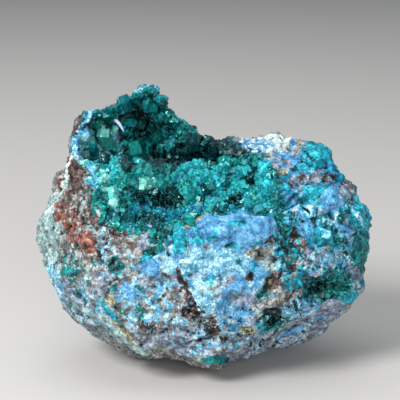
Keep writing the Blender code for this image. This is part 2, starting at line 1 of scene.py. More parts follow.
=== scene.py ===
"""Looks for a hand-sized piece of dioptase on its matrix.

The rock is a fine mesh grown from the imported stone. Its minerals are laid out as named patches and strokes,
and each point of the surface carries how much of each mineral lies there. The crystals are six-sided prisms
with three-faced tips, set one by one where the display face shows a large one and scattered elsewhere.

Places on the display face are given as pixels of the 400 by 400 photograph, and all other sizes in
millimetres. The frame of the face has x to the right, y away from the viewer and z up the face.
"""

import math
from collections import namedtuple

import bmesh
import bpy
import numpy as np
from mathutils import Matrix, Vector, noise
from mathutils.bvhtree import BVHTree


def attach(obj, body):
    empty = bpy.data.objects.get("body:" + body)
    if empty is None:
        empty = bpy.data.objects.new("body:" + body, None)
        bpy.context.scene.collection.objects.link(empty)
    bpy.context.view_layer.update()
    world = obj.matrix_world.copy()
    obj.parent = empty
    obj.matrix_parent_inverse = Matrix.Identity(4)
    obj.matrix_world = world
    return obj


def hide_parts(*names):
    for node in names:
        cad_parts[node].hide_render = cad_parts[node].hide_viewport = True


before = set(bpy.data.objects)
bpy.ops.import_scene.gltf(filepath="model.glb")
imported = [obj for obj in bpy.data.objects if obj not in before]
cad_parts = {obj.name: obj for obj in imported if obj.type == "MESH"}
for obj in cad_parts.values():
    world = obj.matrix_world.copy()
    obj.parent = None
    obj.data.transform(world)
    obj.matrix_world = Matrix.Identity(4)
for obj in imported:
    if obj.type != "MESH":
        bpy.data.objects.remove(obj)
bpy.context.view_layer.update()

MM = 0.001

# How the photograph sees the stone
FACE_LEAN = math.radians(15)  # the display face leans back by this much
STAND_SHIFT = np.array((0.234, -9.232, -0.2))  # how the stone was moved once it leaned back
PIXEL = 0.28  # one pixel at the distance of the stone's outline
FACE_FOOT = (205, 367)  # the pixel where the face's x and z are 0
PHOTO_MIDDLE = (200, 200)
PHOTO_WIDTH = 400 * PIXEL
CAMERA_DISTANCE = 350
SENSOR_WIDTH = 36

# The rock's mesh
ROCK_VOXEL = 0.79  # its spacing before the front is made finer
JOIN_DISTANCE = 0.001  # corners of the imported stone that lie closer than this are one
FACET_SMOOTHING = 5  # rounds of smoothing that take the solid's flat facets away
SMOOTHING_SHARE = 0.5  # and how far each of them goes
FRONT_NORMAL = 0.1  # the mesh is finer where its normal's y in the face's frame is below this
FRONT_BACK = 9.0  # and in front of this depth, where no crust covers it
BASE_BLEND = 1.6  # the relief dies out over this height above the base
BREAKS = [(5.6, 0.88), (2.8, 0.52), (1.4, 0.34), (0.8, 0.15)]  # wavelength and height of the broken surface
RIDGE_WIDTH = 2.4  # every second one runs in ridges, which are narrower the larger this is
BROKEN_FACETS = [(8.0, 0.3), (3.4, 0.26)]  # size and tilt of the flats that the rock broke into
CRUST_LUMPS = [(6.0, 1.5), (3.2, 0.8)]  # width and height of the clusters that the crystals stand in
LUMP_LEVEL = 0.45  # the share of a cluster's height that lies below the solid's surface
GRAIN_LEVEL = 0.4  # and of a grain's
LEAST_AMOUNT = 0.03  # of a mineral, for its grains to show
CAVITY_ROUNDS = 8  # rounds of smoothing that tell a small dent from the surface around it, for its painted shade

# Each mineral: size and height of its grains, how rough it is broken, how rough it is to light, and its dark,
# middle and light tone as a screen shows them. What no other mineral covers is grit.
Mineral = namedtuple("Mineral", "grain height broken gloss tones")
MINERALS = {
    "grit": Mineral(1.2, 0.3, 1.0, 0.62, ((0.2, 0.21, 0.21), (0.42, 0.44, 0.44), (0.7, 0.71, 0.69))),
    "rust": Mineral(1.5, 0.3, 1.0, 0.75, ((0.2, 0.1, 0.08), (0.44, 0.26, 0.22), (0.66, 0.46, 0.4))),
    "maroon": Mineral(1.2, 0.28, 1.0, 0.7, ((0.08, 0.05, 0.05), (0.24, 0.18, 0.18), (0.5, 0.44, 0.43))),
    "slate": Mineral(2.8, 0.12, 0.45, 0.6, ((0.2, 0.24, 0.3), (0.45, 0.5, 0.57), (0.7, 0.75, 0.81))),
    "frost": Mineral(0.9, 0.24, 0.6, 0.5, ((0.2, 0.43, 0.54), (0.4, 0.65, 0.77), (0.78, 0.93, 0.95))),
    "cornflower": Mineral(2.6, 0.16, 0.42, 0.58, ((0.14, 0.35, 0.51), (0.29, 0.55, 0.73), (0.5, 0.72, 0.86))),
    "turquoise": Mineral(1.6, 0.38, 0.85, 0.42, ((0.0, 0.27, 0.34), (0.02, 0.51, 0.6), (0.24, 0.77, 0.82))),
    "deep": Mineral(1.3, 0.4, 0.9, 0.3, ((0.0, 0.14, 0.16), (0.02, 0.36, 0.38), (0.14, 0.6, 0.6))),
    "cream": Mineral(1.9, 0.75, 0.4, 0.55, ((0.44, 0.54, 0.58), (0.7, 0.78, 0.78), (0.92, 0.93, 0.88))),
    "ochre": Mineral(1.0, 0.25, 0.9, 0.7, ((0.24, 0.22, 0.17), (0.5, 0.48, 0.39), (0.76, 0.74, 0.63))),
    "ink": Mineral(1.4, 0.3, 1.0, 0.35, ((0.0, 0.04, 0.05), (0.02, 0.14, 0.16), (0.1, 0.34, 0.36))),
    "mint": Mineral(1.0, 0.28, 0.8, 0.6, ((0.28, 0.38, 0.4), (0.5, 0.61, 0.62), (0.74, 0.83, 0.82))),
    "azure": Mineral(2.0, 0.32, 1.0, 0.5, ((0.0, 0.24, 0.35), (0.03, 0.46, 0.6), (0.22, 0.68, 0.84))),
}
LAID = [name for name in MINERALS if name != "grit"]

# Patches of mineral on the display face, broad ones first: name, mineral, middle, half-widths, how fully the
# mineral covers the patch, and by how many degrees its right-hand end is turned down, where it is turned
BROAD_PATCHES = [
    ("right side, teal", "azure", (322, 222), (64, 70), 0.95),
    ("right side, turquoise", "turquoise", (330, 226), (46, 44), 0.4, 20),
    ("right side, blue", "cornflower", (322, 214), (40, 34), 0.26, 20),
    ("right side, dark", "deep", (332, 250), (40, 40), 0.34),
    ("druse field", "deep", (185, 192), (92, 44), 0.95, 4),
    ("hollow", "deep", (150, 130), (80, 52), 1.0, 22),
    ("belly", "frost", (214, 268), (62, 44), 0.9),
    ("blue brow", "cornflower", (232, 228), (52, 24), 0.92, -6),
    ("underside", "slate", (262, 334), (82, 22), 0.92, -8),
    ("underside, left", "slate", (168, 334), (50, 16), 0.7, 8),
    ("left edge", "mint", (52, 232), (11, 42), 0.75, 8),
    ("left foot", "slate", (84, 306), (34, 26), 0.55, 35),
    ("lower middle", "frost", (158, 296), (32, 34), 0.78),
    ("lower left", "mint", (104, 318), (34, 12), 0.5, 35),
    ("rim crust", "cream", (266, 144), (30, 9), 0.9),
    ("rim crust, blue", "cornflower", (250, 147), (26, 9), 0.5),
    ("rim crust, right", "cream", (284, 140), (10, 9), 0.85),
    ("rim crust, lavender", "cornflower", (291, 143), (5, 6), 0.6),
]

# Minerals that run through a part of the face in blotches: mineral, middle and half-widths of the part, size
# of the blotches, and how much of it they take
MOSAIC = [
    ("turquoise", (325, 222), (56, 72), 3.0, 0.46),
    ("cornflower", (318, 218), (50, 60), 3.0, 0.3),
    ("deep", (330, 226), (50, 72), 2.6, 0.34),
    ("slate", (322, 216), (50, 66), 2.8, 0.2),
    ("ink", (320, 226), (48, 66), 1.9, 0.18),
    ("frost", (320, 226), (46, 56), 1.8, 0.18),
    ("turquoise", (180, 192), (90, 44), 4.4, 0.42),
    ("azure", (170, 208), (80, 40), 5.2, 0.44),
    ("ink", (176, 190), (84, 40), 2.8, 0.36),
    ("frost", (165, 186), (66, 40), 3.0, 0.16),
    ("turquoise", (130, 124), (60, 44), 3.4, 0.36),
    ("ink", (150, 128), (66, 40), 4.0, 0.34),
    ("cornflower", (214, 268), (58, 42), 5.0, 0.42),
    ("mint", (206, 262), (50, 40), 3.8, 0.28),
    ("slate", (218, 272), (58, 46), 4.4, 0.22),
    ("turquoise", (220, 250), (56, 50), 2.8, 0.2),
    ("cornflower", (262, 334), (80, 22), 4.6, 0.4),
    ("frost", (250, 330), (80, 22), 3.2, 0.26),
    ("grit", (250, 336), (84, 22), 3.4, 0.34),
    ("mint", (96, 268), (54, 74), 3.2, 0.4),
    ("slate", (104, 288), (56, 56), 4.6, 0.34),
    ("maroon", (88, 214), (34, 44), 2.4, 0.34),
    ("frost", (130, 296), (60, 44), 3.6, 0.3),
    ("deep", (100, 280), (60, 60), 2.6, 0.16),
    ("grit", (150, 300), (50, 40), 3.0, 0.36),
]

# Single patches, as above
PATCHES = [
    # the hollow and its lip
    ("peak", "turquoise", (149, 94), (13, 12), 0.55),
    ("peak, silver", "frost", (144, 88), (5, 5), 0.5),
    # painted shade in the hollow's depth, and in the pit that the lip hides
    ("hollow's depth, painted shade", "ink", (142, 124), (14, 20), 0.85),
    ("dark pit", "ink", (186, 156), (30, 14), 1.0, -8),
    ("right slope", "ink", (196, 146), (16, 12), 0.65, 30),
    ("left wall", "turquoise", (96, 142), (18, 26), 0.95, -10),
    ("left wall, frosted", "frost", (89, 148), (9, 22), 0.85, -10),
    ("left wall, pale crystals", "frost", (104, 138), (16, 18), 0.8),
    ("top left wall", "turquoise", (122, 102), (16, 7), 0.4, -20),
    # painted shade in the crevice
    ("crevice", "ink", (222, 148), (30, 8), 0.9, 8),
    ("lip crest", "turquoise", (192, 170), (22, 6), 0.6, -6),
    ("lip, left", "deep", (140, 174), (28, 13), 0.7, 10),
    ("lip, frosted", "frost", (148, 182), (10, 6), 0.6),
    ("lip, grey crystals", "deep", (118, 178), (8, 12), 0.6),
    ("lip, dark crystals", "ink", (128, 166), (9, 9), 0.85),
    ("lip, dark crystals, right", "ink", (152, 169), (9, 6), 0.75),
    ("lip, cyan crystal", "turquoise", (137, 164), (5, 5), 0.8),
    ("right crest", "turquoise", (190, 166), (14, 4), 0.9, -12),
    ("right crest, shade", "deep", (190, 192), (14, 12), 0.7),
    ("big dark crystal", "deep", (137, 145), (13, 10), 1.0),
    ("cyan band", "turquoise", (104, 178), (12, 26), 1.0, -14),
    ("cyan band, blue", "frost", (103, 184), (9, 20), 0.62, -14),
    ("cyan band, pale", "frost", (116, 200), (9, 12), 0.5, -30),
    ("druse, dark teal", "ink", (101, 200), (5, 9), 0.55),
    ("recess", "ink", (158, 198), (28, 12), 0.78, 4),
    ("recess, dark end", "ink", (178, 199), (5, 10), 0.9),
    ("recess, lit floor", "turquoise", (150, 202), (5, 6), 0.6),
    ("under the recess", "azure", (150, 214), (24, 10), 0.75),
    ("recess, blue shade", "ink", (152, 224), (16, 12), 0.72, 10),
    ("druse, right", "turquoise", (222, 186), (34, 18), 0.72),
    ("druse, bright", "turquoise", (218, 198), (16, 7), 0.9, -38),
    ("druse, cyan knob", "turquoise", (240, 176), (7, 5), 0.8, -10),
    ("druse, dark knob", "ink", (227, 175), (5, 6), 0.6),
    ("druse, grey foot", "azure", (196, 209), (12, 6), 0.7, -10),
    ("druse, cream specks", "cream", (255, 197), (4, 3), 0.3),
    ("druse, hole", "ink", (236, 200), (11, 7), 0.8, -10),
    ("druse, upper right", "ink", (253, 174), (5, 13), 0.9),
    ("druse, lower left", "cornflower", (120, 216), (16, 8), 0.45, 20),
    ("stripe", "turquoise", (266, 186), (6, 26), 0.98),
    ("tongue", "turquoise", (178, 236), (8, 18), 0.92, -8),
    ("brow", "cornflower", (238, 229), (40, 15), 0.62, -8),
    ("upper right, shade", "azure", (316, 176), (28, 12), 0.55, 6),
    # painted shade, darker still on the upper right
    ("upper right, darker painted shade", "ink", (304, 168), (14, 8), 0.35, -20),
    # left: broken grey-brown rock
    ("left cheek", "maroon", (76, 172), (9, 18), 0.85, -14),
    ("left cheek, lower", "maroon", (72, 196), (8, 12), 0.5, -10),
    ("outer rim, red", "rust", (82, 120), (7, 14), 0.3, 28),
    ("outer rim, dark", "maroon", (78, 124), (6, 10), 0.6, 28),
    ("red nub", "rust", (61, 182), (5, 6), 0.9),
    ("rust streak", "rust", (70, 222), (9, 26), 0.7, -26),
    ("rust streak, lower", "rust", (88, 246), (9, 14), 0.62, -10),
    ("brown band", "maroon", (92, 222), (22, 8), 0.55, 30),
    ("brown spot", "maroon", (116, 231), (9, 8), 0.8, 20),
    ("mauve rock", "rust", (126, 244), (9, 9), 0.35),
    ("pale block", "frost", (103, 246), (8, 16), 0.6, 4),
    ("left teal patch", "deep", (69, 262), (7, 13), 0.5),
    ("left teal patch, foot", "deep", (74, 271), (13, 4), 0.7),
    ("left pale edge", "frost", (56, 284), (8, 22), 0.6, -16),
    ("left blue foot", "cornflower", (67, 292), (8, 10), 0.3),
    ("dark green spot", "deep", (116, 266), (9, 9), 0.7, -20),
    ("dark green spot, core", "ink", (117, 268), (5, 6), 0.6),
    ("small blue window", "cornflower", (126, 290), (11, 10), 0.65, 10),
    ("ochre fleck", "ochre", (113, 299), (5, 6), 0.8),
    # middle
    ("grey shoulder", "slate", (150, 240), (12, 10), 0.65),
    ("dark notch", "deep", (152, 248), (10, 5), 0.85, -10),
    ("teal notch", "turquoise", (146, 256), (7, 5), 0.9, -20),
    ("blue flat", "cornflower", (151, 267), (10, 10), 1.0, 10),
    ("violet foot", "slate", (149, 280), (10, 4), 0.85),
    ("brown crack's mouth", "maroon", (192, 311), (10, 8), 0.95, 10),
    ("brown quad", "maroon", (209, 327), (8, 12), 0.72, -6),
    ("brown flecks", "maroon", (170, 292), (8, 7), 0.5, 20),
    ("grey left of the crack", "grit", (176, 300), (9, 14), 0.6, -10),
    ("brown left of the mouth", "maroon", (184, 310), (7, 6), 0.5),
    ("dark foot fleck", "maroon", (146, 325), (6, 5), 0.7),
    ("teal fleck, lower", "deep", (140, 312), (5, 9), 0.5, -10),
    ("blue prism", "cornflower", (158, 289), (4, 8), 0.7, 15),
    ("brow, teal lens", "turquoise", (236, 224), (10, 4), 0.7, -14),
    ("brow, teal specks", "turquoise", (207, 238), (7, 3), 0.5, -10),
    ("brow, dark line", "maroon", (260, 213), (10, 3), 0.9, -6),
    ("belly, teal hole", "turquoise", (232, 249), (8, 4), 0.85, -20),
    ("belly, white crest", "frost", (222, 262), (26, 12), 0.85),
    ("belly, teal eye", "deep", (239, 263), (4, 4), 0.8),
    ("belly, deep blue", "cornflower", (256, 270), (8, 11), 0.85),
    ("belly, teal vein", "turquoise", (255, 268), (4, 8), 0.6, 20),
    ("mauve ledge", "grit", (258, 254), (14, 7), 0.85, 10),
    ("mint patch", "mint", (270, 264), (7, 7), 0.8),
    ("brow's corner", "maroon", (273, 241), (7, 7), 0.34, 30),
    ("brow's corner, cream", "cream", (246, 255), (6, 4), 0.55, -20),
    ("brown eye", "maroon", (249, 277), (4, 4), 0.75),
    ("speckled brown", "maroon", (279, 282), (9, 8), 0.42, -30),
    ("blue column", "cornflower", (236, 308), (17, 25), 0.72, 10),
    ("blue column, grey", "slate", (246, 298), (16, 10), 0.45),
    ("cream smear", "ochre", (247, 329), (9, 4), 0.85),
    ("brown corner", "ochre", (268, 286), (9, 6), 0.7, -50),
    ("brown corner, dark", "maroon", (270, 284), (7, 5), 0.55, -40),
    ("teal corner", "deep", (262, 292), (8, 5), 0.6, -20),
    # right
    ("plateau", "cornflower", (284, 160), (15, 10), 0.6),
    ("plateau, grey", "slate", (280, 166), (13, 7), 0.5, -10),
    ("plateau, yellow", "ochre", (282, 172), (7, 3), 0.6, -10),
    ("teal knob", "turquoise", (316, 152), (15, 10), 1.0, 10),
    ("teal knob, foot", "turquoise", (310, 168), (9, 7), 0.8),
    ("violet band", "slate", (308, 180), (22, 7), 0.5, -6),
    ("violet band, brown", "maroon", (297, 183), (11, 6), 0.3, -10),
    ("brown hole", "maroon", (326, 180), (6, 6), 0.65),
    ("right teal shelf", "turquoise", (312, 196), (15, 9), 0.8, -6),
    ("right blue shelf", "cornflower", (332, 200), (11, 12), 0.55, 30),
    ("right cheek, mauve", "slate", (346, 190), (7, 8), 0.5, 30),
    ("right cheek, red", "rust", (345, 187), (4, 6), 0.25, 30),
    ("pale tooth", "frost", (309, 208), (8, 9), 0.6, 20),
    ("blue fold", "cornflower", (306, 228), (6, 15), 0.9, -20),
    ("right edge", "turquoise", (360, 214), (8, 24), 0.6),
    ("right bright patch", "turquoise", (322, 237), (12, 9), 0.85, 10),
    ("right bright patch, pale", "frost", (322, 236), (6, 6), 0.4, 10),
    ("right blue patch", "cornflower", (350, 230), (12, 6), 0.65, 10),
    ("dark seam", "ink", (288, 240), (7, 14), 0.5, -8),
    ("dark seam, brown", "maroon", (294, 232), (5, 6), 0.5),
    ("dark seam, lower", "deep", (289, 258), (7, 10), 0.75),
    ("brown tooth", "rust", (303, 246), (5, 9), 0.34, -20),
    ("mauve tooth", "maroon", (293, 268), (6, 7), 0.55),
    ("grey right belly", "slate", (320, 260), (16, 9), 0.4),
    ("pale right belly", "frost", (338, 256), (14, 7), 0.3),
    # painted shade on the right edge, which faces away from the light
    ("right edge, painted shade", "deep", (360, 250), (7, 20), 0.65),
    ("right violet edge", "slate", (352, 274), (9, 7), 0.5),
    ("pocket's left lip", "turquoise", (292, 281), (10, 9), 0.95, -20),
    ("pocket's floor", "ink", (314, 285), (14, 11), 0.6, -20),
    ("pocket's right wall", "deep", (336, 282), (14, 12), 0.9, -10),
    ("pocket's knob", "turquoise", (346, 296), (7, 9), 0.9, 20),
    ("speckled ledge", "cornflower", (302, 304), (16, 8), 0.6),
    ("speckled ledge, white", "frost", (290, 310), (9, 5), 0.7),
    ("star pocket", "ink", (273, 317), (8, 9), 0.8, 20),
    ("star pocket, teal edge", "turquoise", (262, 326), (5, 6), 0.6),
    ("lower right flat", "slate", (318, 318), (28, 14), 0.95, -26),
    ("foot, teal", "deep", (214, 360), (12, 6), 0.8, -10),
    ("foot, pale", "frost", (196, 352), (12, 5), 0.45, -20),
]

# Small blotches that lie over the patches, given as for the mosaic
FLECKS = [
    ("grit", (88, 226), (40, 52), 1.7, 0.12),
    ("maroon", (84, 226), (34, 44), 1.5, 0.14),
    ("mint", (84, 230), (38, 46), 1.5, 0.04),
    ("slate", (186, 300), (34, 48), 1.5, 0.12),
    ("frost", (180, 300), (46, 52), 1.3, 0.12),
    ("turquoise", (296, 246), (26, 46), 1.7, 0.24),
    ("grit", (284, 262), (26, 40), 1.5, 0.2),
    ("ink", (290, 244), (24, 40), 1.3, 0.18),
    ("frost", (302, 304), (20, 10), 1.2, 0.28),
    ("ink", (302, 304), (20, 10), 1.2, 0.26),
    ("mint", (252, 330), (84, 26), 1.6, 0.18),
    ("ink", (252, 330), (84, 26), 1.3, 0.12),
]

# Cracks, ridges and seams: name, mineral, half-width in pixels, relief, and the pixels that it runs through
STROKES = [
    ("dark seam", "deep", 3.8, -0.5, [(280, 224), (285, 234), (286, 246), (291, 256), (289, 266)]),
    ("dark seam, branch", "maroon", 2.0, -0.4, [(286, 240), (293, 234), (300, 236)]),
    ("druse crevice", "ink", 2.6, -1.6, [(252, 163), (254, 174), (253, 187)]),
    ("left rim", "frost", 2.2, 0.5, [(95, 107), (87, 120), (79, 133), (74, 146), (78, 158), (92, 168)]),
    ("left rim, blue side", "cornflower", 1.3, 0.1, [(92, 112), (84, 126), (78, 138), (78, 152), (86, 163)]),
    ("white edge", "cream", 1.6, 0.3, [(72, 156), (68, 170), (65, 184), (58, 196)]),
    ("lower rim of the band", "cornflower", 2.4, 0.3, [(88, 165), (97, 176), (98, 188)]),
    ("ochre edge", "ochre", 3.2, 0.5, [(185, 228), (194, 224), (202, 221), (209, 214)]),
    ("long crack", "maroon", 3.4, -0.4, [(178, 266), (181, 281), (187, 294), (193, 304), (192, 322)]),
    ("upper slit", "ink", 1.0, -1.6, [(303, 152), (307, 156), (313, 161)]),
    ("lower slit", "ink", 1.2, -1.8, [(301, 206), (305, 208), (309, 213)]),
    ("brow seam", "maroon", 1.6, -0.6, [(250, 214), (260, 212), (270, 213)]),
    ("brow's right edge", "maroon", 1.0, -0.5, [(264, 244), (273, 235), (280, 246)]),
    ("pocket's shadow", "ink", 1.6, -1.3, [(316, 300), (328, 298), (340, 294), (350, 284)]),
    ("diagonal seam, teal", "turquoise", 2.0, 0.2, [(101, 300), (110, 311), (120, 320)]),
    ("diagonal seam, pale", "mint", 2.6, 0.3, [(106, 314), (118, 328), (132, 342), (150, 353)]),
    ("diagonal seam, ochre", "ochre", 2.0, -0.2, [(114, 318), (124, 329), (136, 344)]),
    ("right ridge", "frost", 1.6, 0.5, [(348, 204), (357, 214), (363, 226)]),
    ("dark fold", "ink", 1.6, -0.5, [(283, 262), (282, 272), (278, 282)]),
    ("crease right of the druse", "deep", 3.2, -0.4, [(271, 204), (279, 214), (284, 228)]),
    ("druse's pale line", "frost", 1.2, 0.4, [(208, 161), (220, 167), (236, 169)]),
    ("pale line over the brow", "frost", 1.1, 0.3, [(186, 219), (192, 216), (198, 215)]),
    ("underside, second layer", "cornflower", 1.8, 0.4, [(276, 338), (300, 328), (326, 314)]),
    ("underside, pale layer", "frost", 1.8, 0.4, [(283, 318), (300, 314), (316, 306)]),
    ("foot, first streak", "cornflower", 1.4, 0.3, [(200, 350), (214, 345), (228, 344)]),
    ("foot's top edge", "slate", 1.6, -0.7, [(185, 344), (205, 339), (228, 338)]),
    ("grey ledge", "grit", 1.6, 0.5, [(97, 232), (99, 246), (96, 260)]),
]

# Folds of the surface: name, half-width in pixels, height, and the pixels they run through
FOLDS = [
    ("ridge above the side", 3.5, 0.8, [(272, 200), (284, 191), (298, 189)]),
    ("ridge, upper side", 3.8, 0.9, [(298, 194), (312, 191), (326, 195)]),
    ("blue fold's crest", 4.2, 0.8, [(299, 203), (305, 222), (313, 242), (318, 252)]),
    ("valley beside the fold", 4.8, -0.8, [(318, 204), (314, 218), (312, 228)]),
    ("valley, middle side", 5.4, -0.8, [(332, 212), (338, 226), (334, 246)]),
    ("valley, right", 4.8, -0.8, [(344, 208), (352, 222), (358, 238)]),
    ("ledge, right", 4.2, 0.9, [(328, 228), (342, 227), (356, 233)]),
    ("crease under the ledge", 4.2, -0.7, [(322, 248), (336, 243), (352, 244)]),
    ("underside, first layer", 3.5, -0.7, [(232, 344), (262, 340), (292, 328), (322, 312)]),
    ("underside, left layer", 3.8, -0.7, [(158, 334), (176, 330), (196, 333)]),
]

# Swells and pits that the solid leaves out: name, middle, half-widths, height, and turn where there is one
FORMS = [
    ("recess", (158, 198), (24, 9), -2.2, 4),
    ("dark pit", (182, 158), (20, 8), -1.5, -10),
    ("druse hole", (236, 200), (9, 5), -1.4, -10),
    ("lip boulder", (150, 168), (16, 13), 1.6),
    ("lip boulder, right", (192, 176), (17, 8), 0.8, -6),
    ("right crest", (186, 160), (20, 5), -1.6, -6),
    ("lip boulder, left", (118, 172), (9, 13), 1.0),
    ("lip notch", (171, 161), (9, 7), -3.0, 10),
    ("rim crust's cone", (283, 133), (7, 6), -1.3),
    ("lip notch, left", (131, 166), (4, 8), -1.4),
    ("lip notch, right", (214, 163), (7, 5), -1.4),
    ("stripe", (266, 184), (5, 20), 0.9),
    ("brown spot", (116, 231), (7, 6), -0.9, 20),
    ("dark green spot", (116, 266), (8, 8), -1.0, -20),
    ("dark notch", (152, 248), (9, 5), -1.0, -10),
    ("blue flat", (151, 267), (10, 10), 0.8, 10),
    ("brown quad", (209, 327), (8, 12), -0.9, -6),
    ("crack's mouth", (192, 311), (9, 7), -0.9, 10),
    ("belly's teal hole", (232, 249), (8, 4), -0.8, -20),
    ("belly's brown eye", (248, 278), (5, 4), -0.8),
    ("star pocket", (273, 317), (8, 9), -1.6, 20),
    ("brown corner", (270, 285), (8, 6), -1.1, -50),
    ("brow", (226, 226), (34, 12), 0.8, -6),
    ("brow's right block", (258, 228), (14, 14), 0.9, -30),
    ("blue column", (236, 312), (18, 22), -0.8, 10),
    ("belly, left block", (196, 268), (10, 22), 0.5),
    ("mauve ledge", (256, 254), (12, 5), -0.8, 10),
    ("grey shoulder", (150, 240), (10, 8), -0.7),
    ("speckled ledge", (298, 306), (16, 6), 0.9),
    ("knob", (318, 154), (12, 9), 0.9, 10),
    ("knob's foot", (304, 166), (10, 5), -0.9, -30),
    ("right shelf", (332, 198), (10, 8), 0.8, 30),
    ("right cheek", (347, 190), (6, 7), 0.8, 30),
    ("pocket's roof", (326, 272), (24, 5), 0.9, 6),
    ("brown hole", (326, 180), (5, 5), -1.0),
    ("pale tooth", (309, 209), (6, 8), 0.9, 20),
    ("right bright patch", (322, 237), (10, 8), 0.8, 10),
    ("tongue", (178, 236), (6, 15), 0.7, -8),
    ("red nub", (61, 182), (4, 5), 1.0),
    ("violet band", (308, 182), (22, 5), -0.8, -6),
]

# Where no patch reaches: mineral, size of its blotches, and how much of the surface they take
BACK_MINERALS = [
    ("slate", 20.0, 0.5),
    ("mint", 14.0, 0.3),
    ("cornflower", 17.0, 0.34),
    ("turquoise", 12.0, 0.28),
    ("frost", 15.0, 0.26),
    ("maroon", 14.0, 0.16),
    ("rust", 8.0, 0.06),
]
# How blotches are made: how far they cover what lies below, height, smallness and seed of the finer noise
# that frays them, and the heights of the noise between which they start, before their share is taken off
Blotches = namedtuple("Blotches", "cover finer_height finer_size finer_seed start full")
BACK_BLOTCHES = Blotches(0.85, 0.5, 3, 10, 0.45, 0.65)
FACE_BLOTCHES = Blotches(0.75, 0.6, 2.6, 40, 0.42, 0.6)
PATCHES_END = (2.0, 8.0)  # depths between which the patches of the display face give way to the blotches

# Where the soft edge of a shape starts and ends, as shares of the shape's own radius
PATCH_EDGE = (0.75, 1.3)
MOSAIC_EDGE = (0.7, 1.1)
FORM_EDGE = (0.5, 1.35)
FOLD_EDGE = (0.1, 1.6)
STROKE_EDGE = (0.6, 1.5)
STROKE_RELIEF_EDGE = (0.2, 1.5)

STROKE_ENDS = 0.35  # width of a stroke at its ends, and how much of it is left to its tapering middle
STROKE_MIDDLE = 0.65
STROKE_RAGGEDNESS = 0.6  # how much its width changes, and the wavelength at which it does
STROKE_RAGGED_WAVE = 2.4
STROKE_WANDER = 0.35  # how much of the patches' ragged edge a stroke has
# Wavelength in millimetres and reach in pixels of a patch's ragged edge
EDGE_WANDER = [(9.0, 3.6), (3.4, 3.0), (1.5, 1.5)]

# Seeds of the noises, and how far apart the seeds' noises lie
NOISE_SHIFT = (17.3, 5.9, 11.1)
GRAIN_SHIFT = (13.7, 7.1, 3.3)
FACET_SHIFT = 7.3
ACROSS_SEED = 3
DOWN_SEED = 6
STROKE_SEED = 9
BACK_SEED = 20
BREAK_SEED = 40
HOLLOW_SEED = 60
LUMP_SEED = 70
MOSAIC_SEED = 80
FLECK_SEED = 160
CRYSTAL_SEED = 5
GRAIN_SEAMS = 1.6  # the larger this is, the narrower the seams between two grains
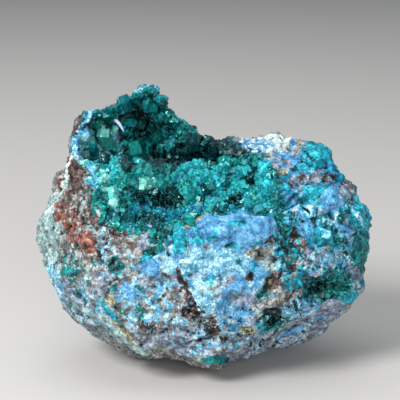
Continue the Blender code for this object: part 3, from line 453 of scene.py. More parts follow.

# Crystals set one by one: pixel of the foot, radius, length, the way it points in the face's frame, and the
# mineral whose colour it has
LEADING = [
    ((137, 148), 3.2, 7.0, (0.06, -0.86, 0.5), "deep"),
    ((106, 143), 2.3, 7.4, (-0.18, -0.76, 0.62), "frost"),
    ((94, 152), 1.9, 6.4, (-0.3, -0.8, 0.52), "turquoise"),
    ((125, 102), 2.0, 5.2, (-0.2, -0.8, 0.56), "turquoise"),
    ((147, 106), 2.1, 5.6, (0.2, -0.84, 0.5), "turquoise"),
    ((131, 125), 1.9, 5.4, (0.1, -0.92, 0.38), "turquoise"),
    ((160, 141), 2.3, 6.2, (-0.3, -0.85, 0.42), "deep"),
    ((166, 116), 1.8, 4.6, (0.42, -0.8, 0.42), "turquoise"),
    ((108, 118), 1.9, 5.2, (-0.42, -0.82, 0.38), "deep"),
    ((181, 132), 1.8, 5.0, (0.24, -0.84, 0.48), "deep"),
    ((196, 143), 2.2, 5.6, (0.1, -0.82, 0.56), "ink"),
    ((214, 151), 1.4, 3.2, (0.24, -0.8, 0.56), "ink"),
    ((143, 158), 1.9, 4.4, (0.0, -0.9, 0.42), "deep"),
    ((89, 138), 1.2, 3.0, (-0.1, -0.86, 0.5), "frost"),
    ((85, 156), 1.5, 3.6, (-0.1, -0.9, 0.4), "frost"),
    ((116, 128), 1.9, 6.0, (0.3, -0.7, 0.64), "deep"),
    ((119, 152), 2.0, 5.2, (-0.12, -0.8, 0.58), "turquoise"),
    ((92, 146), 1.5, 4.6, (0.1, -0.8, 0.58), "frost"),
    ((101, 132), 1.7, 5.0, (0.1, -0.84, 0.52), "frost"),
    ((102, 158), 1.7, 4.0, (0.2, -0.86, 0.46), "ink"),
    ((99, 124), 1.5, 4.2, (-0.36, -0.84, 0.4), "deep"),
    ((110, 109), 1.3, 3.6, (-0.2, -0.86, 0.46), "turquoise"),
    ((136, 97), 1.4, 3.6, (0.1, -0.82, 0.56), "deep"),
    ((146, 89), 1.0, 2.4, (0.1, -0.86, 0.5), "frost"),
    ((150, 95), 1.0, 1.8, (0.4, -0.8, 0.44), "azure"),
    ((154, 108), 1.5, 3.4, (0.3, -0.88, 0.38), "deep"),
    ((152, 126), 1.7, 4.6, (0.2, -0.9, 0.38), "ink"),
    ((162, 146), 1.8, 4.6, (0.1, -0.8, 0.6), "turquoise"),
    ((171, 146), 1.7, 4.8, (0.3, -0.78, 0.54), "turquoise"),
    ((176, 124), 1.2, 3.0, (0.46, -0.78, 0.42), "turquoise"),
    ((187, 143), 1.6, 3.6, (0.0, -0.8, 0.6), "ink"),
    ((206, 142), 1.3, 3.2, (0.4, -0.76, 0.5), "ink"),
    ((226, 156), 1.1, 2.4, (0.1, -0.86, 0.5), "deep"),
    ((236, 158), 1.2, 2.8, (0.2, -0.86, 0.46), "cream"),
    # on the lip
    ((103, 166), 1.7, 3.6, (-0.2, -0.85, 0.5), "turquoise"),
    ((114, 172), 1.6, 4.2, (0.0, -0.8, 0.6), "frost"),
    ((123, 165), 2.0, 4.4, (0.1, -0.8, 0.6), "ink"),
    ((131, 169), 1.6, 3.6, (0.1, -0.9, 0.4), "ink"),
    ((138, 162), 1.7, 3.8, (-0.1, -0.8, 0.6), "turquoise"),
    ((150, 161), 2.2, 4.2, (0.0, -0.75, 0.66), "ink"),
    ((149, 171), 2.0, 3.8, (0.1, -0.9, 0.4), "deep"),
    ((147, 183), 1.9, 3.4, (0.0, -0.92, 0.38), "frost"),
    ((166, 172), 1.9, 3.6, (0.2, -0.85, 0.45), "turquoise"),
    ((160, 182), 1.6, 3.2, (0.1, -0.92, 0.34), "deep"),
    ((181, 171), 1.8, 2.8, (0.0, -0.92, 0.4), "turquoise"),
    ((193, 170), 1.9, 2.8, (0.15, -0.92, 0.36), "turquoise"),
    ((206, 171), 1.8, 3.4, (0.1, -0.85, 0.5), "deep"),
    ((133, 182), 1.8, 3.2, (-0.1, -0.9, 0.42), "turquoise"),
    ((120, 186), 1.6, 3.2, (-0.2, -0.92, 0.34), "deep"),
    ((186, 184), 1.8, 3.2, (0.1, -0.92, 0.36), "deep"),
    ((211, 186), 1.6, 3.0, (0.1, -0.92, 0.36), "deep"),
    ((198, 205), 1.8, 3.0, (0.0, -0.95, 0.3), "frost"),
    ((226, 166), 1.6, 3.0, (0.1, -0.85, 0.5), "turquoise"),
    ((218, 203), 1.6, 3.0, (0.0, -0.92, 0.38), "turquoise"),
    ((241, 176), 1.5, 3.0, (0.2, -0.9, 0.36), "turquoise"),
]

# The flake, a painted reflection of a curved crystal face: pixels along its curve, and its width at each of
# them in pixels
REFLECTION_FLAKE = [
    ((110, 121), 0.4), ((112, 120), 1.8), ((115, 120), 2.8), ((118, 122), 3.2), ((120, 125), 3.0),
    ((122, 128), 2.2), ((124, 132), 0.4),
]
REFLECTION_FLAKE_TURN = (0.75, 0.0, 1.0)  # the way its width points
REFLECTION_FLAKE_SINKS = 0.4  # how deep it stands behind the foremost crystal in front of it
REFLECTION_FLAKE_DEPTH = 3.0
# the painted reflection's pale tones
REFLECTION_TONES = ((0.44, 0.62, 0.78), (0.72, 0.8, 0.94))

# Scattered crystals: piece, how many, least and greatest radius, least distance apart in radii, and how deep
# the foot lies in the rock in radii
CROPS = [
    ("hollow_crystals", 90, 1.3, 2.3, 1.2, 0.8),
    ("hollow_crystals", 700, 0.5, 1.3, 1.0, 0.7),
    ("face_druse", 340, 0.9, 1.9, 1.2, 1.2),
    ("face_druse", 1900, 0.4, 1.0, 1.0, 1.05),
    ("face_druse", 1500, 0.25, 0.5, 1.0, 0.8),
    ("right_pocket_druse", 40, 0.8, 1.2, 1.2, 0.8),
    ("right_pocket_druse", 160, 0.35, 0.7, 1.0, 0.7),
    ("lower_pocket_druse", 90, 0.35, 0.9, 1.0, 0.7),
    ("sprinkled_crystals", 1500, 0.22, 0.5, 1.2, 0.8),
]
EDGE_RADIUS = 0.9  # greatest radius along the crust's edges, and where the rock doesn't face the viewer
OPEN_FACING = -0.45  # the rock faces the viewer with the y of its normal, in the face's frame, below this
SPRINKLED_ABOVE = 2.5  # no sprinkled crystals below this height
REPLACED = {
    "hollow_crystals": "dioptase_crust",
    "right_pocket_druse": "right_pocket_crystals",
    "lower_pocket_druse": "lower_pocket_crystals",
}
HOLLOW_FRONT = -11.5  # the hollow's crystals stand behind this depth, and the druse in front of it
HOLLOW_WANDER = (2.5, 4.0)  # reach and wavelength of the line between the two
HOLLOW_TOP = 128  # and they stand everywhere above this row of the photograph
GREEN = {"deep": 1.0, "turquoise": 0.6, "ink": 0.7}  # how much a mineral draws sprinkled crystals
GREEN_LEAST = 0.25  # and how much of that it takes for the first of them
CLUSTER_ROUNDS = 30  # rounds of smoothing that tell a crease between two clusters from their crests, for its painted shade
# Where the crust reaches further than its solid: name, half-width in pixels, and the pixels it runs through
CRUST_EDGES = [
    ("inside the left rim", 7, [(102, 108), (93, 118), (88, 130), (85, 142), (86, 154), (94, 164)]),
    (
        "right slope's edge", 8,
        [(156, 90), (162, 99), (172, 111), (184, 123), (200, 136), (216, 142), (236, 148)],
    ),
]
CRUST_FACING = 0.5  # greatest y of the rock's normal there, in the face's frame
CRUST_REACH = 1.3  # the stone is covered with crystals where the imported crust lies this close
CAP_RISE = (0.4, 0.72)  # drop from one ring of a crystal's tip to the next, in radii
LENGTHS = (1.5, 2.6)  # of a scattered crystal, in radii
EDGE_WEAR = 0.12  # width of the bevel along the hollow crystals' edges
SINK_MOST = 2.6  # a crystal that would have to move further than this is left out
PROUD = -0.1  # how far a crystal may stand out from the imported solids
ROOT = 0.6  # how deep a leading crystal's foot lies in the rock, in radii
JITTER = 0.42  # how much a scattered crystal leans at random
TOWARDS = (0.0, -0.35, 0.25)  # and how much towards the viewer and the light
SQUASH = (0.72, 1.15)  # how broad a crystal is across, against its radius
TRIES = 8  # places that are looked at for each scattered crystal
SMALL_ONES = 1.5  # the larger this is, the more of the scattered crystals are small
UPRIGHT = 0.8  # a direction counts as upright when its z is greater than this
SIDES = 6
TIP = 2 * SIDES  # number of the tip among a crystal's corners: the foot's and the shoulders' come first
CORNERS = TIP + 1
CORNER_SHADES = [0.0] * SIDES + [0.8] * SIDES + [1.0]  # how light the foot, the shoulders and the tip are

# The crystals' two looks: name, how clear they are, how rough, and how strong their glints
CLEAR = ("clear dioptase", 0.62, 0.08, 0.7)
MILKY = ("dioptase druse", 0.3, 0.15, 0.45)
WITH_DEPTH = 0.4  # crystals that are clearer than this are coloured by their depth too
REFRACTION = 1.66
SPECULAR_TINT = (0.45, 0.95, 0.95, 1.0)  # the colour of the crystals' glints
ABSORPTION = (0.1, 0.85, 0.78, 1.0)  # what the clear crystals let through
ABSORPTION_DENSITY = 90.0  # to the metre
CREASE_SHADE_TINT = (0.34, 0.52, 0.56)  # painted shade, darker in the creases between clusters
# pale veins: healed cracks, and painted glints like bright crystal edges
VEIN_AND_GLINT_COLOUR = (0.26, 0.8, 0.83)
DENT_SHADE_TINT = (0.34, 0.36, 0.38)  # painted shade, darker in the rock's dents
EDGE_LIGHTENING_TINT = (1.25, 1.25, 1.25, 1.0)  # the rock's edges are lighter by this
# pale grains and painted glints: specks are lighter by this
SPECK_AND_GLINT_TINT = (1.5, 1.5, 1.5, 1.0)
# Dark, middle and light tone of each mineral's crystals, as a screen shows them
CRYSTAL_TONES = {
    "deep": ((0.0, 0.2, 0.2), (0.01, 0.48, 0.47), (0.2, 0.82, 0.77)),
    "ink": ((0.0, 0.04, 0.06), (0.0, 0.12, 0.15), (0.02, 0.3, 0.33)),
    "turquoise": ((0.0, 0.32, 0.36), (0.02, 0.58, 0.62), (0.28, 0.86, 0.88)),
    "azure": ((0.0, 0.22, 0.31), (0.01, 0.42, 0.54), (0.14, 0.66, 0.78)),
    "cornflower": ((0.04, 0.36, 0.48), (0.14, 0.6, 0.72), (0.42, 0.82, 0.88)),
    "frost": ((0.08, 0.5, 0.48), (0.38, 0.86, 0.81), (0.88, 1.0, 0.97)),
    "cream": ((0.52, 0.57, 0.56), (0.8, 0.83, 0.8), (0.96, 0.96, 0.92)),
}

# Name, place and size in metres, power in watts, and colour
LIGHTS = [
    ("window", (-0.5, -0.5, 0.64), 0.34, 11.0, (1.0, 0.99, 0.97)),
    ("sky", (-0.05, 0.1, 1.0), 0.8, 4.5, (0.95, 0.98, 1.0)),
    ("fill", (0.5, -0.8, 0.15), 0.6, 2.4, (1.0, 1.0, 1.0)),
    ("front", (0.12, -0.95, 0.36), 0.4, 3.0, (1.0, 1.0, 1.0)),
]
LIGHTS_AIM = (0, 0, 40 * MM)
ROOM_COLOUR = (0.8, 0.86, 0.92, 1.0)
ROOM_STRENGTH = 0.28
FLOOR_COLOUR = (0.73, 0.72, 0.71)
FLOOR_ROUGHNESS = 0.9
FLOOR_SIZE = 3.0
NEAREST_SEEN = 10  # the camera sees nothing that is closer


def add_modifier(piece, name, kind, **settings):
    modifier = piece.modifiers.new(name, kind)
    for setting, value in settings.items():
        setattr(modifier, setting, value)


def settle(obj):
    """Bakes the object's modifiers into its mesh."""
    graph = bpy.context.evaluated_depsgraph_get()
    mesh = bpy.data.meshes.new_from_object(obj.evaluated_get(graph))
    obj.modifiers.clear()
    obj.data = mesh


def add_object(name, mesh):
    obj = bpy.data.objects.new(name, mesh)
    bpy.context.scene.collection.objects.link(obj)
    return obj


def vertex_array(mesh):
    flat = np.empty(len(mesh.vertices) * 3)
    mesh.vertices.foreach_get("co", flat)
    return flat.reshape(-1, 3)


def normal_array(mesh):
    flat = np.empty(len(mesh.vertices) * 3, dtype=np.float32)
    mesh.vertex_normals.foreach_get("vector", flat)
    return flat.reshape(-1, 3).astype(float)


def set_vertices(mesh, points):
    mesh.vertices.foreach_set("co", np.ascontiguousarray(points, dtype=np.float32).ravel())
    mesh.update()


def finished_mesh(bm, name):
    mesh = bpy.data.meshes.new(name)
    bm.to_mesh(mesh)
    bm.free()
    return mesh


def face_tree(*pieces):
    """The faces of some pieces, for finding what lies near or in the way."""
    bm = bmesh.new()
    for piece in pieces:
        bm.from_mesh(piece.data)
    tree = BVHTree.FromBMesh(bm)
    bm.free()
    return tree


def smooth_step(value, low, high):
    share = np.clip((value - low) / (high - low), 0.0, 1.0)
    return share * share * (3 - 2 * share)


def inside(reach, edge):
    """1 inside a shape and 0 outside it, with a soft edge."""
    return 1 - smooth_step(reach, *edge)


def turned_to_face(vectors):
    """Directions of the scene in the frame of the display face."""
    away = vectors[:, 1] * math.cos(FACE_LEAN) - vectors[:, 2] * math.sin(FACE_LEAN)
    up = vectors[:, 1] * math.sin(FACE_LEAN) + vectors[:, 2] * math.cos(FACE_LEAN)
    return np.stack([vectors[:, 0], away, up], axis=1)


def to_face(points):
    """Points of the scene, in metres, as millimetres in the frame of the display face."""
    return turned_to_face(np.asarray(points) / MM - STAND_SHIFT)


def from_face(direction):
    """A direction in the frame of the display face, as one of the scene."""
    return Matrix.Rotation(-FACE_LEAN, 3, "X") @ Vector(direction)


def face_place(pixel):
    """A point of the outline's plane in the face's frame, from its pixel."""
    return Vector(((pixel[0] - FACE_FOOT[0]) * PIXEL, 0.0, (FACE_FOOT[1] - pixel[1]) * PIXEL))


def scene_point(face_point):
    """A point in millimetres in the face's frame, as one of the scene in metres."""
    return (from_face(face_point) + Vector(STAND_SHIFT)) * MM


def camera_point():
    return scene_point(face_place(PHOTO_MIDDLE) - Vector((0, CAMERA_DISTANCE, 0)))


def pixels_of(face_points):
    """The pixels where the photograph shows points of the face's frame."""
    middle = face_place(PHOTO_MIDDLE)
    nearer = CAMERA_DISTANCE / (CAMERA_DISTANCE + face_points[:, 1]) / PIXEL
    across = PHOTO_MIDDLE[0] + (face_points[:, 0] - middle.x) * nearer
    down = PHOTO_MIDDLE[1] - (face_points[:, 2] - middle.z) * nearer
    return np.stack([across, down], axis=1)


def soft_noise(points, size, seed=0):
    """Smooth noise from -1 to 1 with swells of about that size, for points in millimetres."""
    shift = Vector([seed * part for part in NOISE_SHIFT])
    return np.array([noise.noise(Vector(point) / size + shift) for point in points])


def grain_noise(points, size, seed=0):
    """Rounded grains: 1 in the middle of each, and 0 where it meets its neighbours."""
    shift = Vector([seed * part for part in GRAIN_SHIFT])
    cells = (noise.voronoi(Vector(point) / size + shift)[0] for point in points)
    return np.array([min((distances[1] - distances[0]) * GRAIN_SEAMS, 1.0) for distances in cells])


def ellipse_reach(pixels, middle, half_widths, turn=0):
    """How far out each pixel lies, as a share of an ellipse's own radius."""
    angle = math.radians(turn)
    dx = pixels[:, 0] - middle[0]
    dy = pixels[:, 1] - middle[1]
    along = (dx * math.cos(angle) + dy * math.sin(angle)) / half_widths[0]
    across = (dy * math.cos(angle) - dx * math.sin(angle)) / half_widths[1]
    return np.hypot(along, across)


def stroke_reach(pixels, path, half_width, ragged):
    """How far each pixel lies from a line, as a share of the line's half-width, which tapers at both ends."""
    path = np.array(path, dtype=float)
    runs = np.linalg.norm(np.diff(path, axis=0), axis=1)
    before = 0.0
    nearest = np.full(len(pixels), np.inf)
    along = np.zeros(len(pixels))
    for start, end, length in zip(path, path[1:], runs):
        share = np.clip(((pixels - start) @ (end - start)) / length ** 2, 0.0, 1.0)
        distance = np.linalg.norm(pixels - start - share[:, None] * (end - start), axis=1)
        closer = distance < nearest
        nearest[closer] = distance[closer]
        along[closer] = (before + share[closer] * length) / runs.sum()
        before += length
    taper = STROKE_ENDS + STROKE_MIDDLE * np.sin(math.pi * along) ** 0.5
    return nearest / (half_width * taper * (1 + STROKE_RAGGEDNESS * ragged))


def lay(amounts, mineral, cover):
    """Lays a mineral over what is there already."""
    for name in amounts:
        amounts[name] *= 1 - cover
    if mineral != "grit":
        amounts[mineral] += cover


def wandering_pixels(face_points):
    """The pixels of points, moved a little, so that a shape that is laid over them has a ragged edge."""
    pixels = pixels_of(face_points)
    for number, (wavelength, reach) in enumerate(EDGE_WANDER):
        pixels[:, 0] += reach * soft_noise(face_points, wavelength, ACROSS_SEED + number)
        pixels[:, 1] += reach * soft_noise(face_points, wavelength, DOWN_SEED + number)
    return pixels


def stroke_pixels(face_points, pixels):
    """The pixels for the strokes, which wander less than the patches do."""
    steady = pixels_of(face_points)
    return steady + STROKE_WANDER * (pixels - steady)


def lay_patches(amounts, patches, pixels, seen):
    for _, mineral, middle, half_widths, cover, *turn in patches:
        reach = ellipse_reach(pixels, middle, half_widths, *turn)
        lay(amounts, mineral, seen * cover * inside(reach, PATCH_EDGE))


def in_blotches(kind, face_points, size, share, seed):
    """1 in blotches of a size that take a share of the surface, and 0 between them."""
    height = soft_noise(face_points, size, seed)
    height += kind.finer_height * soft_noise(face_points, size / kind.finer_size, seed + kind.finer_seed)
    return smooth_step(height, kind.start - share, kind.full - share)


def lay_blotches(amounts, blotches, face_points, pixels, seen, seed):
    kind = FACE_BLOTCHES
    for number, (mineral, middle, half_widths, size, share) in enumerate(blotches):
        near = seen * inside(ellipse_reach(pixels, middle, half_widths), MOSAIC_EDGE)
        there = near > 0
        cover = np.zeros(len(near))
        laid = in_blotches(kind, face_points[there], size, share, seed + number)
        cover[there] = near[there] * kind.cover * laid
        lay(amounts, mineral, cover)


def mineral_amounts(face_points, pixels, crust):
    """How much of each mineral lies at each point. What is missing from 1 is the grey-brown grit."""
    amounts = {name: np.zeros(len(face_points)) for name in LAID}
    kind = BACK_BLOTCHES
    for number, (mineral, size, share) in enumerate(BACK_MINERALS):
        lay(amounts, mineral, kind.cover * in_blotches(kind, face_points, size, share, BACK_SEED + number))
    seen = np.maximum(1 - smooth_step(face_points[:, 1], *PATCHES_END), crust)
    for name in amounts:
        amounts[name] *= 1 - seen
    lay_patches(amounts, BROAD_PATCHES, pixels, seen)
    lay_blotches(amounts, MOSAIC, face_points, pixels, seen, MOSAIC_SEED)
    lay_patches(amounts, PATCHES, pixels, seen)
    ragged = soft_noise(face_points, STROKE_RAGGED_WAVE, STROKE_SEED)
    steadier = stroke_pixels(face_points, pixels)
    for _, mineral, half_width, _, path in STROKES:
        reach = stroke_reach(steadier, path, half_width, ragged)
        lay(amounts, mineral, seen * inside(reach, STROKE_EDGE))
    lay_blotches(amounts, FLECKS, face_points, pixels, seen, FLECK_SEED)
    return amounts


def lay_under_crust(amounts, crust):
    """Makes up what is missing with deep green where crystals cover the rock."""
    amounts["deep"] += np.where(crust, np.maximum(1 - sum(amounts.values()), 0.0), 0.0)


def carved_height(face_points, pixels):
    """The height of the listed forms and strokes at each point."""
    seen = 1 - smooth_step(face_points[:, 1], *PATCHES_END)
    height = np.zeros(len(face_points))
    for _, middle, half_widths, rise, *turn in FORMS:
        height += rise * inside(ellipse_reach(pixels, middle, half_widths, *turn), FORM_EDGE)
    ragged = soft_noise(face_points, STROKE_RAGGED_WAVE, STROKE_SEED)
    for _, half_width, rise, path in FOLDS:
        height += rise * inside(stroke_reach(pixels, path, half_width, ragged), FOLD_EDGE)
    steadier = stroke_pixels(face_points, pixels)
    for _, _, half_width, rise, path in STROKES:
        height += rise * inside(stroke_reach(steadier, path, half_width, ragged), STROKE_RELIEF_EDGE)
    return height * seen


def facet_height(face_points):
    """The height of a surface broken into flat facets, each tilted its own way."""
    height = np.zeros(len(face_points))
    for size, tilt in BROKEN_FACETS:
        for number, point in enumerate(face_points):
            place = Vector(point) / size
            middle = noise.voronoi(place)[1][0]
            slope = noise.cell_vector(middle * FACET_SHIFT) - Vector((0.5, 0.5, 0.5))
            height[number] += (place - middle).dot(slope) * size * tilt
    return height


def grain_height(face_points, amounts):
    """The height of the minerals' grains and of the broken surface at each point."""
    grit = 1 - sum(amounts.values())
    height = np.zeros(len(face_points))
    broken = np.zeros(len(face_points))
    for number, (name, mineral) in enumerate(MINERALS.items()):
        amount = grit if name == "grit" else amounts[name]
        there = amount > LEAST_AMOUNT
        grains = grain_noise(face_points[there], mineral.grain, number) - GRAIN_LEVEL
        height[there] += amount[there] * mineral.height * grains
        broken += amount * mineral.broken
    for number, (wavelength, rise) in enumerate(BREAKS):
        value = soft_noise(face_points, wavelength, BREAK_SEED + number)
        if number % 2:
            value = 1 - RIDGE_WIDTH * np.abs(value)
        height += rise * value * broken
    return height + facet_height(face_points) * broken


def store(mesh, name, values):
    """Keeps one number for each point of the mesh, for the material to read."""
    attribute = mesh.attributes.new(name, "FLOAT", "POINT")
    attribute.data.foreach_set("value", np.ascontiguousarray(values, dtype=np.float32))


def base_mesh(node):
    """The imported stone's mesh, with its doubled corners joined."""
    bm = bmesh.new()
    bm.from_mesh(node.data)
    bmesh.ops.remove_doubles(bm, verts=bm.verts, dist=JOIN_DISTANCE * MM)
    return finished_mesh(bm, "rock")


def refine_front(mesh):
    """Halves the mesh where the display face lies bare."""
    bm = bmesh.new()
    bm.from_mesh(mesh)
    centres = np.array([face.calc_center_median() for face in bm.faces])
    normals = turned_to_face(np.array([face.normal for face in bm.faces]))
    front = (normals[:, 1] < FRONT_NORMAL) & (to_face(centres)[:, 1] < FRONT_BACK)
    front &= ~near_node(centres, "dioptase_crust", CRUST_REACH)
    edges = {edge for face, chosen in zip(bm.faces, front) if chosen for edge in face.edges}
    bmesh.ops.subdivide_edges(bm, edges=list(edges), cuts=1, use_grid_fill=True)
    bmesh.ops.triangulate(bm, faces=[face for face in bm.faces if len(face.verts) > 4])
    for face in bm.faces:
        face.smooth = True
    bm.to_mesh(mesh)
    bm.free()


def cavity_of(mesh, points, normals, rounds):
    """How deep each point lies under the mean of its neighbourhood, in millimetres."""
    edges = np.empty(len(mesh.edges) * 2, dtype=np.int32)
    mesh.edges.foreach_get("vertices", edges)
    edges = edges.reshape(-1, 2)
    count = np.bincount(edges.ravel(), minlength=len(points))[:, None]
    mean = points.copy()
    for _ in range(rounds):
        total = np.zeros_like(mean)
        np.add.at(total, edges[:, 0], mean[edges[:, 1]])
        np.add.at(total, edges[:, 1], mean[edges[:, 0]])
        mean = total / count
    return ((mean - points) * normals).sum(axis=1) / MM


def along_edges(pixels):
    """Where the crust's edges run, which its solid leaves bare."""
    reaches = [stroke_reach(pixels, path, half_width, 0.0) for _, half_width, path in CRUST_EDGES]
    return np.min(reaches, axis=0) < 1


def crust_mask(points, normals, face_points):
    """1 where crystals cover the rock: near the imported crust, and along its edges that face the viewer."""
    crust = near_node(points, "dioptase_crust", CRUST_REACH)
    facing = turned_to_face(normals)[:, 1] < CRUST_FACING
    return (crust | facing & along_edges(pixels_of(face_points))).astype(float)


def even_rock():
    """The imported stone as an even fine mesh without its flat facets."""
    rock = add_object("matrix_rock", base_mesh(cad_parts["matrix"]))
    add_modifier(rock, "even mesh", "REMESH", mode="VOXEL", voxel_size=ROCK_VOXEL * MM)
    add_modifier(rock, "smooth facets", "SMOOTH", factor=SMOOTHING_SHARE, iterations=FACET_SMOOTHING)
    settle(rock)
    refine_front(rock.data)
    return rock


def store_minerals(mesh, amounts):
    """Keeps the amounts of all minerals and what they make of the surface's gloss."""
    grit = 1 - sum(amounts.values())
    for mineral, amount in amounts.items():
        store(mesh, mineral, amount)
    store(mesh, "grit", grit)
    gloss = sum(amount * MINERALS[mineral].gloss for mineral, amount in amounts.items())
    store(mesh, "gloss", gloss + grit * MINERALS["grit"].gloss)


def make_rock():
    """The rock with its relief and its minerals. Gives their amounts too, and where crystals cover it."""
    rock = even_rock()
    mesh = rock.data
    points = vertex_array(mesh)
    face_points = to_face(points)
    normals = normal_array(mesh)
    crust = crust_mask(points, normals, face_points)
    pixels = wandering_pixels(face_points)
    amounts = mineral_amounts(face_points, pixels, crust)
    height = carved_height(face_points, pixels) + grain_height(face_points, amounts)
    for size, rise in CRUST_LUMPS:
        height += crust * rise * (grain_noise(face_points, size, LUMP_SEED) - LUMP_LEVEL)
    height *= smooth_step(points[:, 2] / MM, 0.0, BASE_BLEND)
    points = points + normals * height[:, None] * MM
    points[:, 2] = np.maximum(points[:, 2], 0.0)
    set_vertices(mesh, points)

    lay_under_crust(amounts, crust > 0)
    store_minerals(mesh, amounts)
    store(mesh, "cavity", cavity_of(mesh, points, normal_array(mesh), CAVITY_ROUNDS))
    mesh.materials.clear()
    mesh.materials.append(rock_material())
    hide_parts("matrix")
    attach(rock, "root")
    return rock, amounts, crust > 0


def vertex_areas(mesh):
    """The share of the surface that belongs to each point of the mesh."""
    areas = np.zeros(len(mesh.vertices))
    for face in mesh.polygons:
        areas[list(face.vertices)] += face.area / len(face.vertices)
    return areas


def near_node(points, name, reach):
    """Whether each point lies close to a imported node."""
    tree = face_tree(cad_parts[name])
    return np.array([tree.find_nearest(Vector(point), reach * MM)[0] is not None for point in points])


def spread(points, chances, count, radii, spacing, rng):
    """Picks points by chance, no two closer than the spacing: their numbers, and a radius for each."""
    tries = min(count * TRIES, int((chances > 0).sum()))
    order = rng.choice(len(points), size=tries, replace=False, p=chances)
    cell = 2 * radii[1] * spacing
    taken = {}
    numbers = []
    sizes = []
    for number in order:
        point = points[number]
        radius = radii[0] + (radii[1] - radii[0]) * rng.random() ** SMALL_ONES
        home = tuple(np.floor(point / cell).astype(int))
        around = [
            other
            for x in (-1, 0, 1) for y in (-1, 0, 1) for z in (-1, 0, 1)
            for other in taken.get((home[0] + x, home[1] + y, home[2] + z), [])
        ]
        if any(np.linalg.norm(point - place) < spacing * 0.5 * (radius + size) for place, size in around):
            continue
        taken.setdefault(home, []).append((point, radius))
        numbers.append(number)
        sizes.append(radius)
        if len(numbers) == count:
            break
    return np.array(numbers), np.array(sizes)


def sink(tree, corners):
    """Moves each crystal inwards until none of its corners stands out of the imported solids. Tells which have
    a place there."""
    placed = np.ones(len(corners), dtype=bool)
    for number, crystal in enumerate(corners):
        most = 0.0
        for corner in crystal[SIDES:]:
            point, normal, _, _ = tree.find_nearest(Vector(corner) * MM)
            proud = (Vector(corner) - point / MM).dot(normal) - PROUD
            if proud > most:
                most = proud
                inwards = -np.array(normal)
        if most > 0:
            crystal += inwards * most
        placed[number] = most < SINK_MOST
    return placed


def crystal_points(roots, directions, radii, lengths, rng):
    """The corners of many crystals: six at the foot, six shoulders and the tip, for each crystal."""
    count = len(roots)
    upright = np.abs(directions[:, 2:]) >= UPRIGHT
    side = np.cross(directions, np.where(upright, (1.0, 0.0, 0.0), (0.0, 0.0, 1.0)))
    side /= np.linalg.norm(side, axis=1)[:, None]
    other = np.cross(directions, side)
    twist = rng.uniform(0, 2 * math.pi, count)[:, None]
    squash = rng.uniform(*SQUASH, count)[:, None]
    rise = rng.uniform(*CAP_RISE, count) * radii
    first = side * np.cos(twist) + other * np.sin(twist)
    second = (other * np.cos(twist) - side * np.sin(twist)) * squash
    corners = []
    for height in ("foot", "shoulder"):
        for corner in range(SIDES):
            angle = corner * math.pi / 3
            up = np.zeros(count) if height == "foot" else lengths - rise * (1 + corner % 2)
            ring = first * math.cos(angle) + second * math.sin(angle)
            corners.append(roots + ring * radii[:, None] + directions * up[:, None])
    corners.append(roots + directions * lengths[:, None])
    return np.stack(corners, axis=1)


def crystal_faces():
    """A crystal's faces: the foot, six sides and the three faces of its tip."""
    faces = [tuple(reversed(range(SIDES)))]
    for corner in range(SIDES):
        after = (corner + 1) % SIDES
        faces.append((corner, after, after + SIDES, corner + SIDES))
    for corner in range(1, SIDES, 2):
        shoulder = corner + SIDES
        faces.append((TIP, shoulder - 1, shoulder, (corner + 1) % SIDES + SIDES))
    return faces


def add_crystals(name, corners, looks, cavity, rng, material):
    """One piece of many crystals. looks gives each crystal's amount of each mineral's colour."""
    count = len(corners)
    template = crystal_faces()
    firsts = range(0, CORNERS * count, CORNERS)
    faces = [tuple(first + corner for corner in face) for first in firsts for face in template]
    mesh = bpy.data.meshes.new(name)
    mesh.from_pydata((corners.reshape(-1, 3) * MM).tolist(), [], faces)
    mesh.update()
    for mineral, amounts in looks.items():
        store(mesh, mineral, np.repeat(amounts, CORNERS))
    store(mesh, "height", np.tile(CORNER_SHADES, count))
    store(mesh, "shade", np.repeat(rng.random(count), CORNERS))
    store(mesh, "cavity", np.repeat(cavity, CORNERS))
    facet = mesh.attributes.new("facet", "FLOAT", "FACE")
    facet.data.foreach_set("value", rng.random(len(faces)).astype(np.float32))
    mesh.materials.append(material)
    piece = add_object(name, mesh)
    if name == "hollow_crystals":
        add_modifier(piece, "worn edges", "BEVEL", width=EDGE_WEAR * MM, segments=1)
        settle(piece)
    if name in REPLACED:
        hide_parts(REPLACED[name])
    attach(piece, "root")
    return piece


def sight_line(pixel):
    """The direction from the camera to a pixel."""
    return (scene_point(face_place(pixel)) - camera_point()).normalized()


def leading_crystals(rock, envelope, rng):
    """The crystals that are set one by one, rooted where the camera sees the rock at their pixel."""
    tree = face_tree(rock)
    feet, radii, lengths, leans, minerals = zip(*LEADING)
    roots = []
    directions = []
    for pixel, radius, lean in zip(feet, radii, leans):
        point, _, _, _ = tree.ray_cast(camera_point(), sight_line(pixel))
        direction = np.array(from_face(Vector(lean).normalized()))
        roots.append(np.array(point) / MM - direction * ROOT * radius)
        directions.append(direction)
    corners = crystal_points(np.array(roots), np.array(directions), np.array(radii), np.array(lengths), rng)
    placed = sink(envelope, corners)
    minerals = np.array(minerals)[placed]
    looks = {name: (minerals == name).astype(float) for name in CRYSTAL_TONES}
    return corners[placed], looks, np.zeros(len(minerals))


